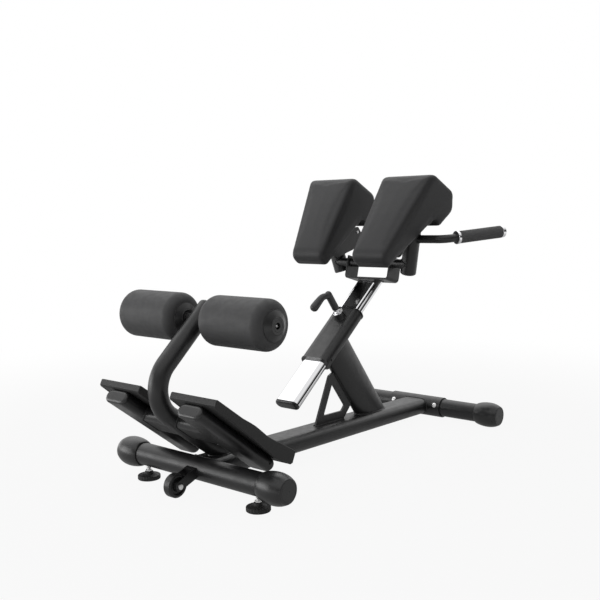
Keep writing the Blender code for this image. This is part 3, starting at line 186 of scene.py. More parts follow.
# Each lamp's name, place, the point it is aimed at, its side in metres and its power in watts.
# Only the low window lamp shows in the steel.
LAMPS = (
    ("overhead", (-0.3, 0.4, 3.0), (0.0, 0.0, 0.3), 2.6, 20),
    ("foot_end", (-3.3, -0.6, 1.9), (0.0, 0.0, 0.4), 2.2, 33),
    ("head_end", (2.2, -2.9, 1.3), (0.2, 0.0, 0.4), 1.8, 12),
    ("window", (-2.9, 2.6, 0.45), (-0.3, 0.0, 0.2), 2.4, 60),
)
for name, place, target, size, power in LAMPS:
    lamp = bpy.data.lights.new(name, "AREA")
    lamp.shape = "SQUARE"
    lamp.size = size
    lamp.energy = power
    lamp_object = bpy.data.objects.new(name, lamp)
    aim = (Vector(target) - Vector(place)).to_track_quat("-Z", "Y").to_matrix().to_4x4()
    lamp_object.matrix_world = Matrix.Translation(place) @ aim
    lamp_object.visible_glossy = name == "window"
    scene.collection.objects.link(lamp_object)


# The welded frame is mild steel tube and plate, powder coated matt black after welding.
# The coat is a fine orange peel whose gloss varies a little from place to place.
class Finish(Kit):
    """A material for a slot of the record: a Principled shader whose sockets take values or ports."""

    def __init__(self, name, slot, metallic=0.0):
        self.material = bpy.data.materials.new(name)
        self.material.use_nodes = True
        self.slot = slot
        super().__init__(self.material.node_tree)
        self.shader = self.tree.nodes["Principled BSDF"]
        self.set({"Metallic": metallic})

    def set(self, sockets):
        self.wire(self.shader, sockets)

    def spot(self):
        """Place on the piece, in metres."""
        return self.node("ShaderNodeTexCoord", {}, {}, output="Object")

    def cloud(self, scale, detail=2.0):
        """Soft noise from 0 to 1 whose lumps are about 1 / scale across."""
        sockets = {"Vector": self.spot(), "Scale": scale, "Detail": detail}
        return self.node("ShaderNodeTexNoise", {}, sockets)

    def cells(self, scale):
        """Rounded cells about 1 / scale across."""
        sockets = {"Vector": self.spot(), "Scale": scale}
        return self.node("ShaderNodeTexVoronoi", {"feature": "SMOOTH_F1"}, sockets)

    def tint(self, factor, first, second):
        """Colour that goes from first to second with the factor."""
        factor_socket, first_socket, second_socket = 0, 6, 7
        sockets = {factor_socket: factor, first_socket: (*first, 1), second_socket: (*second, 1)}
        return self.node("ShaderNodeMix", {"data_type": "RGBA"}, sockets, output=2)

    def relief(self, height, depth, strength):
        """Bump from a height of 0 to 1, depth metres deep."""
        sockets = {"Height": height, "Distance": depth, "Strength": strength}
        self.set({"Normal": self.node("ShaderNodeBump", {}, sockets)})


powder = Finish("powder_coat", "powder_black")
drift = powder.cloud(7, 3.0)
powder.set({"Base Color": powder.tint(drift, (0.011, 0.011, 0.0114), (0.015, 0.015, 0.0154)),
            "Roughness": powder.cloud(55, 4.0).ramp(0.25, 0.75, 0.34, 0.44)})
powder.relief(powder.cloud(620), 0.00012, 0.5)


def finish_mesh(name, shell, finish, body, replaced=(), crease=35):
    """Piece of a shell: smooth faces, sharp where faces meet at more than crease degrees."""
    mesh = bpy.data.meshes.new(name)
    shell.to_mesh(mesh)
    shell.free()
    mesh.shade_smooth()
    mesh.set_sharp_from_angle(angle=math.radians(crease))
    mesh.materials.append(finish.material)
    piece = bpy.data.objects.new(name, mesh)
    scene.collection.objects.link(piece)
    weighted = piece.modifiers.new("even_shading", "WEIGHTED_NORMAL")
    weighted.keep_sharp = True
    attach(piece, body)
    if replaced:
        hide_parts(*replaced)
    return piece


def ease_edges(shell, width):
    """Rounds the edges where faces meet at more than 38 degrees."""
    limit = math.radians(38)
    sharp = [edge for edge in shell.edges if edge.is_manifold and edge.calc_face_angle() > limit]
    bmesh.ops.bevel(shell, geom=sharp, offset=width, offset_type="OFFSET", segments=2, profile=0.5,
                    affect="EDGES", clamp_overlap=True, material=-1)


def merged(node):
    """A copy of a CAD node's form with its loose triangles joined."""
    shell = bmesh.new()
    shell.from_mesh(nodes[node].data)
    bmesh.ops.remove_doubles(shell, verts=shell.verts, dist=1e-5)
    bmesh.ops.dissolve_limit(shell, angle_limit=math.radians(0.6), verts=shell.verts, edges=shell.edges,
                             delimit={"NORMAL"})
    return shell


def own_form(node, finish, ease=0.0, crease=35):
    """The node's own form as a finished piece, with its cut edges rounded by ease."""
    shell = merged(node)
    if ease:
        ease_edges(shell, ease)
    return finish_mesh(node + "_steel", shell, finish, nodes[node]["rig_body"], [node], crease)


PLATE_EASE = 0.0009
for node in ("rear_stabiliser", "front_stabiliser", "front_socket", "main_beam", "column", "slide_sleeve",
             "foot_cross_left", "foot_cross_right", "foot_support_left", "foot_support_right",
             "roller_axle", "cross_tube", "head_post_left", "head_post_right"):
    own_form(node, powder)
for node in ("gusset", "wheel_fork", "head_bracket", "pad_bracket_left", "pad_bracket_right"):
    own_form(node, powder, PLATE_EASE)


# The roller arm is one round tube, bent cold on a mandrel below the rollers, with a domed upper end.
# It runs down between the foot plates and is welded to the crown of the beam.
AXLE = Vector((-0.45716, 0, 0.4556))
PLATE_TOP_X = -0.60346
PLATE_TOP_Z = 0.2986
PLATE_SLOPE = math.radians(36.9)
SUPPORT_DEPTH = -0.0375
ARM_RADIUS = 0.025
ARM_BEND = 0.085
ARM_RISE = math.radians(41.7)
ARM_PAST_AXLE = 0.038
slope = Vector((math.cos(PLATE_SLOPE), 0, -math.sin(PLATE_SLOPE)))
square_up = Vector((math.sin(PLATE_SLOPE), 0, math.cos(PLATE_SLOPE)))


def on_plate(along, lateral, above):
    """Place in the foot plates' frame: down their slope, sideways and square above it."""
    return Vector((PLATE_TOP_X, lateral, PLATE_TOP_Z)) + slope * along + square_up * above


def bend(start, corner, end, radius, steps=28):
    """Points of a tube that goes from start to end round a corner."""
    back = (start - corner).normalized()
    out = (end - corner).normalized()
    half = back.angle(out) / 2
    centre = corner + (back + out).normalized() * radius / math.sin(half)
    first = corner + back * radius / math.tan(half) - centre
    last = corner + out * radius / math.tan(half) - centre
    axis = first.cross(last).normalized()
    sweep = first.angle(last)
    turn = [centre + Matrix.Rotation(sweep * step / steps, 3, axis) @ first for step in range(steps + 1)]
    return [start, *turn, end]


def rod_along(points, radius, widths=None, closed=False, resolution=6):
    """Round bar along points, with a width of its own at each point."""
    curve = bpy.data.curves.new("run", "CURVE")
    curve.dimensions = "3D"
    curve.bevel_depth = radius
    curve.bevel_resolution = resolution
    curve.use_fill_caps = True
    spline = curve.splines.new("POLY")
    spline.points.add(len(points) - 1)
    for index, place in enumerate(points):
        spline.points[index].co = (*place, 1)
        spline.points[index].radius = widths[index] if widths else 1
    spline.use_cyclic_u = closed
    run = bpy.data.objects.new("run", curve)
    shell = bmesh.new()
    made = bpy.data.meshes.new_from_object(run)
    shell.from_mesh(made)
    bpy.data.objects.remove(run)
    bmesh.ops.remove_doubles(shell, verts=shell.verts, dist=1e-6)
    bmesh.ops.recalc_face_normals(shell, faces=shell.faces)
    return shell


upward = Vector((math.cos(ARM_RISE), 0, math.sin(ARM_RISE)))
low_end = on_plate(0.338, 0, SUPPORT_DEPTH)
offset = AXLE - low_end
reach = (offset.x * upward.z - offset.z * upward.x) / (slope.x * upward.z - slope.z * upward.x)
arm_top = AXLE + upward * ARM_PAST_AXLE
arm_path = bend(low_end, low_end + slope * reach, arm_top, ARM_BEND)
dome = [(0.003, 0.985), (0.0055, 0.94), (0.0075, 0.86), (0.0088, 0.74)]
arm_path += [arm_top + upward * rise for rise, width in dome]
arm_widths = [1] * (len(arm_path) - len(dome)) + [width for rise, width in dome]
arm_shell = rod_along(arm_path, ARM_RADIUS, arm_widths, resolution=14)
finish_mesh("roller_arm_tube", arm_shell, powder, "base", ["roller_arm"])


# Every joint of the frame is welded all round: a low bead of even ripples, coated over with the rest.
# The welder's bead swells and thins a little as it goes.
REAR = Vector((-0.46856, 0, 0.0667))
FRONT = Vector((0.59014, 0, 0.0408))
SLEEVE = Vector((0.08748, 0, 0.33301))
CROSS_TUBE = Vector((0.304093, 0, 0.557785))
BEAD_PITCH = 0.00065
RING_STEPS = 60
bead_shells = {"base": [], "head": []}
along_beam = (FRONT - REAR).normalized()
slide_run = Vector((0.787467, 0, 0.616357))
column_run = Vector((0.616357, 0, -0.787467))
sideways = Vector((0, 1, 0))


def even_run(points, normals, closed):
    """The run at the beads' even pitch, each place with its surface normal."""
    places = list(zip(points, normals))
    if closed:
        places.append(places[0])
    lengths = [(second[0] - first[0]).length for first, second in zip(places, places[1:])]
    total = sum(lengths)
    count = max(4, round(total / BEAD_PITCH))
    result = []
    index = 0
    passed = 0.0
    for step in range(count + (0 if closed else 1)):
        target = total * step / count
        while index < len(lengths) - 1 and passed + lengths[index] < target:
            passed += lengths[index]
            index += 1
        share = (target - passed) / max(lengths[index], 1e-9)
        first, second = places[index], places[index + 1]
        result.append((first[0].lerp(second[0], share), first[1].lerp(second[1], share)))
    return result


def bead(points, normals, body, radius=0.0024, closed=True):
    """Weld bead along a run: ripples 2.6 mm apart, thin at its ends where it isn't closed."""
    run = even_run(points, normals, closed)
    widths = []
    places = []
    for index, (place, normal) in enumerate(run):
        ripple = 1 + 0.05 * math.sin(2 * math.pi * index / 4) + 0.10 * noise.noise(place * 70)
        from_end = min(index, len(run) - 1 - index) * BEAD_PITCH
        taper = 1.0 if closed else min(1.0, 0.35 + from_end / 0.004)
        widths.append(ripple * taper)
        places.append(place + normal * 0.0002)
    bead_shells[body].append(rod_along(places, radius, widths, closed, 2))


def weld(target, centre, run, wide, outline, body="base", radius=0.0024):
    """Bead where a member of this outline, running from its centre, meets the target node."""
    shell = merged(target)
    tree = BVHTree.FromBMesh(shell)
    run = Vector(run).normalized()
    wide = Vector(wide).normalized()
    thick = run.cross(wide)
    points = []
    normals = []
    for across_it, through in outline:
        start = Vector(centre) + wide * across_it + thick * through
        place, normal, index, distance = tree.ray_cast(start, run, 0.25)
        if place:
            points.append(place)
            normals.append(normal)
    shell.free()
    bead(points, normals, body, radius, len(points) > 0.97 * len(outline))


def oval(width, thick, steps=20):
    """Flat oval outline, its round ends on the wide axis."""
    flat, radius = (width - thick) / 2, thick / 2
    points = []
    for side in (1, -1):
        for step in range(steps + 1):
            turn = math.pi * step / steps - math.pi / 2
            points.append((side * (flat + radius * math.cos(turn)), side * radius * math.sin(turn)))
        for step in range(1, 12):
            points.append((side * flat * (1 - step / 6), side * radius))
    return points


def ring(width, height=None):
    """Round or elliptic outline of these half widths."""
    turns = [2 * math.pi * step / RING_STEPS for step in range(RING_STEPS)]
    return [(width * math.cos(turn), (height or width) * math.sin(turn)) for turn in turns]


def joined(shells):
    """One shell of several."""
    whole = bmesh.new()
    for shell in shells:
        mesh = bpy.data.meshes.new("piece")
        shell.to_mesh(mesh)
        whole.from_mesh(mesh)
        shell.free()
        bpy.data.meshes.remove(mesh)
    return whole


beam_outline = oval(0.1058, 0.0528)
column_outline = ring(0.0274, 0.0589)
arm_outline = ring(0.0254)
cross_outline = oval(0.0928, 0.0368)
axle_outline = ring(0.0131)
column_middle = SLEEVE + column_run * 0.18
weld("rear_stabiliser", REAR + along_beam * 0.2, -along_beam, sideways, beam_outline)
weld("front_socket", FRONT - along_beam * 0.2, along_beam, sideways, beam_outline)
weld("main_beam", column_middle, column_run, sideways, column_outline)
weld("slide_sleeve", column_middle, -column_run, sideways, column_outline)
weld("main_beam", on_plate(0.15, 0, SUPPORT_DEPTH), slope, sideways, arm_outline)
for name, side in (("left", 1), ("right", -1)):
    for target, start, heading in (("foot_support_" + name, 0.05, 1), ("roller_arm", 0.06, -1)):
        place = on_plate(0.128, side * start, SUPPORT_DEPTH)
        weld(target, place, sideways * side * heading, slope, cross_outline)
    weld("roller_arm", AXLE + sideways * side * 0.05, sideways * -side, slope, axle_outline, radius=0.0018)

GUSSET_SIDE = 0.0046
RUN_STEPS = 20
beam_tree = BVHTree.FromBMesh(merged("main_beam"))
column_tree = BVHTree.FromBMesh(merged("column"))
column_foot = SLEEVE + column_run * 0.3624
down = Vector((0, 0, -1))
for side in (1, -1):
    flank = column_foot + sideways * side * GUSSET_SIDE
    crown_run = []
    face_run = []
    for step in range(RUN_STEPS + 1):
        on_crown = flank - along_beam * (0.176 + 0.133 * step / RUN_STEPS)
        on_face = flank - column_run * (0.138 + 0.134 * step / RUN_STEPS)
        crown_run.append(beam_tree.ray_cast(on_crown - down * 0.2, down, 0.3)[:2])
        face_run.append(column_tree.ray_cast(on_face - slide_run * 0.3, slide_run, 0.4)[:2])
    for line in (crown_run, face_run):
        line = [(place, normal) for place, normal in line if place]
        bead([place for place, normal in line], [normal for place, normal in line], "base", 0.0022, False)

handle_outline = ring(0.0129)
cross_tube_outline = ring(0.0149)
post_outline = ring(0.0254)
FORWARD = (1, 0, 0)
for name, side in (("left", 1), ("right", -1)):
    outward = sideways * side
    post_run = Vector((-0.149, side * 0.235, 1)).normalized()
    post_at = Vector((0.31948, side * 0.1295, 0.52551)) + post_run * 0.09
    handle_at = (0.30309, side * 0.215, 0.63551)
    past_ear = CROSS_TUBE + outward * 0.10
    past_post = CROSS_TUBE + outward * 0.105
    weld("head_post_" + name, handle_at, -outward, FORWARD, handle_outline, "head", 0.0020)
    weld("head_post_" + name, past_ear, outward, FORWARD, cross_tube_outline, "head", 0.0020)
    weld("head_bracket", past_post, -outward, FORWARD, cross_tube_outline, "head", 0.0020)
    weld("pad_bracket_" + name, post_at, post_run, (1, 0, 0.149), post_outline, "head", 0.0022)
weld("head_bracket", SLEEVE + slide_run * 0.21, slide_run, sideways, oval(0.0850, 0.0330), "head")
for body, shells in bead_shells.items():
    finish_mesh(body + "_weld_beads", joined(shells), powder, body)


# Four bulbous caps of black polypropylene, moulded in one piece, push over the ends of the stabilisers.
# Each has a thin lip at its mouth and a flat soft-edged end with a ring moulded in it.
REAR_TUBE_HALF = 0.285
FRONT_TUBE_HALF = 0.295
moulded = Finish("moulded_black", "cap_black")
flow = moulded.cloud(14, 3.0)
moulded.set({"Base Color": moulded.tint(flow, (0.016, 0.016, 0.0164), (0.022, 0.022, 0.0224)),
             "Roughness": moulded.cloud(80, 4.0).ramp(0.25, 0.75, 0.27, 0.36)})
moulded.relief(moulded.cloud(900), 0.00008, 0.4)


def spun(profile, centre, axis, steps=72, closed=False, six=(0, 0)):
    """Turned form: a profile of (distance from the axis, place along it) taken once round.
    Rings whose distance lies between the two of six become hexagons."""
    shell = bmesh.new()
    verts = [shell.verts.new((reach, 0, along)) for reach, along in profile]
    edges = [shell.edges.new(pair) for pair in zip(verts, verts[1:])]
    if closed:
        edges.append(shell.edges.new((verts[-1], verts[0])))
    bmesh.ops.spin(shell, geom=verts + edges, angle=2 * math.pi, steps=steps, axis=(0, 0, 1),
                   cent=(0, 0, 0), use_merge=True)
    bmesh.ops.remove_doubles(shell, verts=shell.verts, dist=1e-6)
    for vert in shell.verts:
        if six[0] < math.hypot(vert.co.x, vert.co.y) < six[1]:
            turn = math.atan2(vert.co.y, vert.co.x) % (math.pi / 3) - math.pi / 6
            vert.co.xy = vert.co.xy * math.cos(math.pi / 6) / math.cos(turn)
    bmesh.ops.recalc_face_normals(shell, faces=shell.faces)
    turned = Vector(axis).to_track_quat("Z", "Y").to_matrix().to_4x4()
    bmesh.ops.transform(shell, matrix=Matrix.Translation(centre) @ turned, verts=shell.verts)
    return shell


def curve_points(centre, radius, start, end, steps):
    """Points of an arc in a profile, angles in degrees."""
    turns = [math.radians(start + (end - start) * step / steps) for step in range(steps + 1)]
    return [(centre[0] + radius * math.cos(turn), centre[1] + radius * math.sin(turn)) for turn in turns]


def detailed(node, shell, finish, crease=35):
    """The shell in place of a CAD node, on the node's own body."""
    return finish_mesh(node + "_detail", shell, finish, nodes[node]["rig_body"], [node], crease)


def cap_profile(tube_half):
    """Profile of a cap on a tube's end: lip, swelling flank, rounded fall and flat end with its ring."""
    mouth = tube_half - 0.0627
    crest = mouth + 0.042
    end = mouth + 0.081
    turn = math.radians(53)
    profile = [(0.0306, mouth + 0.020), (0.0306, mouth + 0.0006), (0.0310, mouth), (0.0320, mouth)]
    for step in range(17):
        angle = math.pi / 2 * step / 16
        profile.append((0.0325 + 0.0083 * math.sin(angle) ** 1.5, crest - 0.0414 * math.cos(angle)))
    for step in range(1, 13):
        angle = turn * step / 12
        fall = 0.0088 * (1 - math.cos(angle)) / (1 - math.cos(turn))
        profile.append((0.0408 - fall, crest + 0.036 * math.sin(angle) / math.sin(turn)))
    profile += curve_points((0.029, end - 0.003), 0.003, 10, 90, 5)
    profile += [(0.0262, end), (0.0258, end - 0.0005), (0.0250, end - 0.0005), (0.0246, end),
                (0.0032, end), (0.0028, end - 0.0005), (0, end - 0.0005)]
    return profile


for name, side in (("left", 1), ("right", -1)):
    rear_cap = spun(cap_profile(REAR_TUBE_HALF), REAR, sideways * side, 96)
    detailed("rear_end_cap_" + name, rear_cap, moulded, 30)
    front_cap = spun(cap_profile(FRONT_TUBE_HALF), FRONT, sideways * side, 96)
    detailed("front_end_cap_" + name, front_cap, moulded, 30)


# Bright zinc plated screws: two button heads hold the front stabiliser in its socket, one in each
# roller hub holds the roller on its axle, and each is driven by a hexagon key.
SOCKET_SCREW_Y = 0.083
SOCKET_SCREW_RUN = (-0.93969, 0, 0.34202)
zinc = Finish("bright_zinc", "chrome", metallic=1.0)
spangle = zinc.cloud(300)
zinc.set({"Base Color": zinc.tint(spangle, (0.88, 0.88, 0.87), (0.95, 0.95, 0.95)),
          "Roughness": zinc.cloud(240, 3.0).ramp(0.3, 0.7, 0.40, 0.50)})


def button_screw(radius, seat, height, shank, shank_low, key):
    """Profile of a screw with a domed head and a hexagon socket."""
    dome = [(radius * math.cos(math.radians(turn)) ** 0.7, seat + height * math.sin(math.radians(turn)))
            for turn in range(0, 64, 9)]
    top = dome[-1][1]
    return [(0, shank_low), (shank, shank_low), (shank, seat), (radius, seat), *dome[1:],
            (key * 1.15, top + height * 0.05), (key, top - 0.0002), (key * 0.98, top - height * 0.55),
            (0, top - height * 0.6)]


for name, side in (("left", 1), ("right", -1)):
    profile = button_screw(0.0080, 0.0344, 0.0046, 0.004, 0.0304, 0.0024)
    place = FRONT + sideways * side * SOCKET_SCREW_Y
    detailed("front_screw_" + name, spun(profile, place, SOCKET_SCREW_RUN, 48, six=(0.0020, 0.0026)), zinc)
    profile = button_screw(0.0046, 0.2553, 0.0112, 0.0033, 0.2395, 0.0013)
    detailed("axle_screw_" + name, spun(profile, AXLE, sideways * side, 36, six=(0.0011, 0.0014)), zinc)


# The levelling feet are ribbed rubber discs moulded round the head of a zinc plated threaded stem.
# A thin nut locks the stem under the rear stabiliser.
FOOT_Y = 0.2046
THREAD_PITCH = 0.0019
rubber = Finish("moulded_rubber", "rubber_black")
bloom = rubber.cloud(40, 4.0)
rubber.set({"Base Color": rubber.tint(bloom, (0.010, 0.010, 0.010), (0.016, 0.016, 0.016)),
            "Roughness": rubber.cloud(300, 4.0).ramp(0.3, 0.7, 0.57, 0.63)})
rubber.relief(rubber.cloud(700, 3.0), 0.00015, 0.5)
disc_profile = [(0, 0), (0.0285, 0), *curve_points((0.0289, 0.002), 0.002, -90, 0, 3),
                *curve_points((0.0289, 0.0095), 0.002, 0, 90, 4), (0.0255, 0.0118), (0.0240, 0.0112),
                (0.0205, 0.0122), *curve_points((0.0185, 0.0205), 0.0066, 255, 190, 6),
                (0.0110, 0.0206), *curve_points((0.0102, 0.0207), 0.0008, 0, 90, 3),
                (0.0065, 0.0215), (0.0065, 0.0100)]
stem_profile = [(0, 0.0075), (0.0058, 0.0075), (0.0058, 0.0219), (0.0086, 0.0219), (0.0091, 0.0224),
                (0.0091, 0.0254), (0.0086, 0.0259), (0.0062, 0.0262)]
for turn in range(16):
    stem_profile += [(0.0060, 0.0264 + turn * THREAD_PITCH), (0.0053, 0.02735 + turn * THREAD_PITCH)]
stem_profile += [(0.0053, 0.058), (0, 0.058)]
for name, side in (("left", 1), ("right", -1)):
    centre = REAR * Vector((1, 1, 0)) + sideways * side * FOOT_Y
    disc = spun(disc_profile, centre, (0, 0, 1), 96)
    for vert in disc.verts:
        spoke = vert.co - centre
        if spoke.xy.length > 0.0300 and round(math.atan2(spoke.y, spoke.x) / (math.pi / 48)) % 4 < 2:
            vert.co.xy -= spoke.xy.normalized() * 0.0008
    detailed("foot_disc_" + name, disc, rubber, 28)
    stem = spun(stem_profile, centre, (0, 0, 1), 48, six=(0.0084, 0.0093))
    detailed("foot_stem_" + name, stem, zinc, 40)


# The transport wheel is hard black nylon with a rounded tread and a dished web, on a hexagon bolt
# between the two straps of its fork.
WHEEL = Vector((-0.55356, 0, 0.044))
tread = Finish("wheel_nylon", "tread_black")
scuff = tread.cloud(60, 4.0)
tread.set({"Base Color": tread.tint(scuff, (0.011, 0.011, 0.011), (0.018, 0.018, 0.018)),
           "Roughness": tread.cloud(200, 4.0).ramp(0.3, 0.7, 0.34, 0.46)})
wheel_profile = [(0.0054, 0.0120), (0.0118, 0.0120), (0.0125, 0.0118), (0.0131, 0.0108), (0.0140, 0.0064),
                 *curve_points((0.0152, 0.0072), 0.0012, 180, 270, 3), (0.0205, 0.0060),
                 *curve_points((0.0205, 0.0072), 0.0012, 270, 350, 3), (0.0224, 0.0108),
                 *curve_points((0.0238, 0.0106), 0.0013, 160, 90, 3),
                 *curve_points((0.0265, 0.0078), 0.0040, 90, 15, 6), (0.0304, 0.0050), (0.0305, 0.0020)]
wheel_profile += [(reach, -along) for reach, along in reversed(wheel_profile)]
detailed("transport_wheel", spun(wheel_profile, WHEEL, sideways, 96, closed=True), tread)
bolt = [(0, -0.0228), (0.0060, -0.0228), (0.0071, -0.0222), (0.0075, -0.0216), (0.0075, -0.0180),
        (0.0050, -0.0178), (0.0050, 0.0178), (0.0075, 0.0180), (0.0075, 0.0216), (0.0071, 0.0222),
        (0.0056, 0.0226), (0.0046, 0.0226), (0.0046, 0.0233), (0, 0.0233)]
detailed("wheel_bolt", spun(bolt, WHEEL, sideways, 48, six=(0.0073, 0.0077)), zinc)


# The pads are moulded polyurethane foam with a leather-grained skin, made in one shot on a board.
# Their faces are crowned a little, and the skin is drawn tight round the thick rounded edges.
PAD_VOXEL = 0.004
PAD_PRESSURE = 4.0
PAD_SWELL = 0.0012
CLOTH_FRAMES = 20
vinyl = Finish("pad_vinyl", "pad_vinyl")
handled = vinyl.cloud(9, 3.0)
vinyl.set({"Base Color": vinyl.tint(handled, (0.0235, 0.0235, 0.0245), (0.027, 0.027, 0.028)),
           "Roughness": vinyl.cloud(160, 3.0).ramp(0.3, 0.7, 0.53, 0.57),
           "Specular IOR Level": 0.4})
vinyl.relief(vinyl.cells(900) * 0.7 + vinyl.cloud(1500, 3.0) * 0.3, 0.00025, 0.5)


def take_shape(piece):
    """Applies the piece's modifiers to its mesh."""
    graph = bpy.context.evaluated_depsgraph_get()
    shaped = bpy.data.meshes.new_from_object(piece.evaluated_get(graph))
    piece.modifiers.clear()
    piece.data = shaped


def evenly_meshed(shell, voxel):
    """Object of the shell's form, its mesh made again with even faces."""
    mesh = bpy.data.meshes.new("even")
    shell.to_mesh(mesh)
    shell.free()
    even = bpy.data.objects.new("even", mesh)
    scene.collection.objects.link(even)
    remesh = even.modifiers.new("even", "REMESH")
    remesh.mode = "VOXEL"
    remesh.voxel_size = voxel
    take_shape(even)
    return even


def shell_of(piece):
    """The piece's mesh as a shell. The piece goes."""
    shell = bmesh.new()
    shell.from_mesh(piece.data)
    bpy.data.objects.remove(piece)
    return shell


def blow_up(piece, pressure, limit):
    """Blows the piece up from inside as cloth, each point moved no more than limit."""
    rest = [vert.co.copy() for vert in piece.data.vertices]
    cloth = piece.modifiers.new("skin", "CLOTH")
    cloth.settings.use_pressure = True
    cloth.settings.uniform_pressure_force = pressure
    cloth.settings.effector_weights.gravity = 0
    cloth.point_cache.frame_start = 1
    cloth.point_cache.frame_end = CLOTH_FRAMES
    for frame_number in range(1, CLOTH_FRAMES + 1):
        scene.frame_set(frame_number)
    take_shape(piece)
    for vert, home in zip(piece.data.vertices, rest):
        shift = vert.co - home
        vert.co = home + shift * min(1.0, limit / max(shift.length, 1e-9))
    scene.frame_set(1)


def shrink(shell, depth):
    """Moves each point inwards, or outwards where depth is below zero."""
    shell.normal_update()
    for vert in shell.verts:
        vert.co -= vert.normal * depth


def smooth(shell, passes):
    """Draws each point halfway to the middle of its neighbours, passes times over."""
    for count in range(passes):
        bmesh.ops.smooth_vert(shell, verts=shell.verts, factor=0.5, use_axis_x=True, use_axis_y=True,
                              use_axis_z=True)


pad_shell = merged("pad_left")
shrink(pad_shell, PAD_SWELL)
blown = evenly_meshed(pad_shell, PAD_VOXEL)
blow_up(blown, PAD_PRESSURE, PAD_SWELL)
pad_skin = shell_of(blown)
smooth(pad_skin, 2)
for name, side in (("left", 1), ("right", -1)):
    skin = pad_skin.copy()
    if side < 0:
        bmesh.ops.scale(skin, vec=(1, -1, 1), verts=skin.verts)
        bmesh.ops.reverse_faces(skin, faces=skin.faces)
    pad = finish_mesh("pad_skin_" + name, skin, vinyl, "head", ["pad_" + name], 180)
    pad.modifiers.clear()
    rounder = pad.modifiers.new("rounder", "SUBSURF")
    rounder.levels = 1
    rounder.render_levels = 1


# The leg rollers are thick foam sleeves with a closed, lightly pebbled skin and full round shoulders.
# They are pushed tight over the spigots of their hubs, and turn with them on the axle.
foam = Finish("foam_skin", "foam_grey")
shade = foam.cloud(12, 3.0)
foam.set({"Base Color": foam.tint(shade, (0.043, 0.043, 0.044), (0.048, 0.048, 0.049)),
          "Roughness": foam.cloud(60, 3.0).ramp(0.3, 0.7, 0.58, 0.68)})
foam.relief(foam.cells(420), 0.0004, 0.5)
foam_profile = [(0.025, 0.0500), (0.0385, 0.0500), *curve_points((0.0395, 0.0740), 0.024, -90, 0, 14),
                *curve_points((0.0395, 0.2340), 0.024, 0, 90, 14), (0.0385, 0.2580), (0.025, 0.2580)]
for name, side in (("left", 1), ("right", -1)):
    node = "foam_roller_" + name
    sleeve = spun(foam_profile, AXLE, sideways * side, 96, closed=True)
    roller = finish_mesh("roller_skin_" + name, sleeve, foam, "roller_" + name, [node], 60)


# A moulded hub closes each end of a roller: a cone with stepped rings round the axle.
# The outer hub's face is closed but for the screw's hole.
HUB_BORE = 0.0131
SCREW_WELL = 0.0080


def hub_cone(seat, heading, bore, floor):
    """Profile of a hub from its spigot in the foam to its face."""
    rise = [(0.0247, -0.030), (0.0247, 0.0), (0.0395, 0.0), (0.0399, 0.0006), (0.0396, 0.0014),
            (0.0380, 0.0020), (0.0374, 0.0017), (0.0368, 0.0023), (0.0300, 0.0058), (0.0236, 0.0092),
            (0.0226, 0.0096), (0.0222, 0.0092), (0.0217, 0.0097), (0.0212, 0.0103), (0.0205, 0.0105),
            (0.0158, 0.0105), (0.0153, 0.0099), (0.0147, 0.0099), (0.0142, 0.0105),
            (bore + 0.0008, 0.0105), (bore, 0.0098)]
    return [(reach, seat + heading * along) for reach, along in rise] + [(bore, floor)]


inner_hub = hub_cone(0.0497, -1, HUB_BORE, 0.0797)
outer_hub = hub_cone(0.2583, 1, SCREW_WELL, 0.2553) + [(HUB_BORE, 0.2553), (HUB_BORE, 0.2283)]
for name, side in (("left", 1), ("right", -1)):
    detailed("hub_inner_" + name, spun(inner_hub, AXLE, sideways * side, 96, closed=True), moulded, 30)
    detailed("hub_outer_" + name, spun(outer_hub, AXLE, sideways * side, 96, closed=True), moulded, 30)


# The foot plates are thick rubber mouldings over the supports, with a hollow underside and a kicked-up
# low end. Raised ribs run across the tread so that the heels don't slip. Plugs moulded in black plastic
# close the upper ends of the supports and the low end of the slide tube.
RUBBER_EASE = 0.0011
PLUG_EASE = 0.0005
RIB_COUNT = 28
RIB_START = 0.014
RIB_PITCH = 0.0095
RIB_RADIUS = 0.0017
RIB_ENDS = (0.0690, 0.0698, 0.0710, 0.1994, 0.2006, 0.2014)
RIB_WIDTHS = (0.35, 0.8, 1, 1, 0.8, 0.35)
TREAD = ((0.0, 0.0), (0.052, 0.0008), (0.100, 0.0018), (0.128, 0.0045), (0.150, 0.0060), (0.176, 0.0052),
         (0.203, 0.0038), (0.232, 0.0062), (0.262, 0.0108), (0.319, 0.0175))


def tread_rise(along):
    """Height of the tread over the flat plate at this place down its slope."""
    for (low, low_rise), (high, high_rise) in zip(TREAD, TREAD[1:]):
        if low <= along < high:
            return low_rise + (high_rise - low_rise) * (along - low) / (high - low)


for name, side in (("left", 1), ("right", -1)):
    own_form("foot_plate_" + name, rubber, RUBBER_EASE, 30)
    ribs = []
    for rib in range(RIB_COUNT):
        along = RIB_START + rib * RIB_PITCH
        places = [on_plate(along, side * lateral, tread_rise(along) + 0.0001) for lateral in RIB_ENDS]
        ribs.append(rod_along(places, RIB_RADIUS, RIB_WIDTHS, resolution=3))
    finish_mesh("tread_ribs_" + name, joined(ribs), rubber, "base")
for node in ("support_plug_left", "support_plug_right", "slide_tube_plug"):
    own_form(node, moulded, PLUG_EASE)


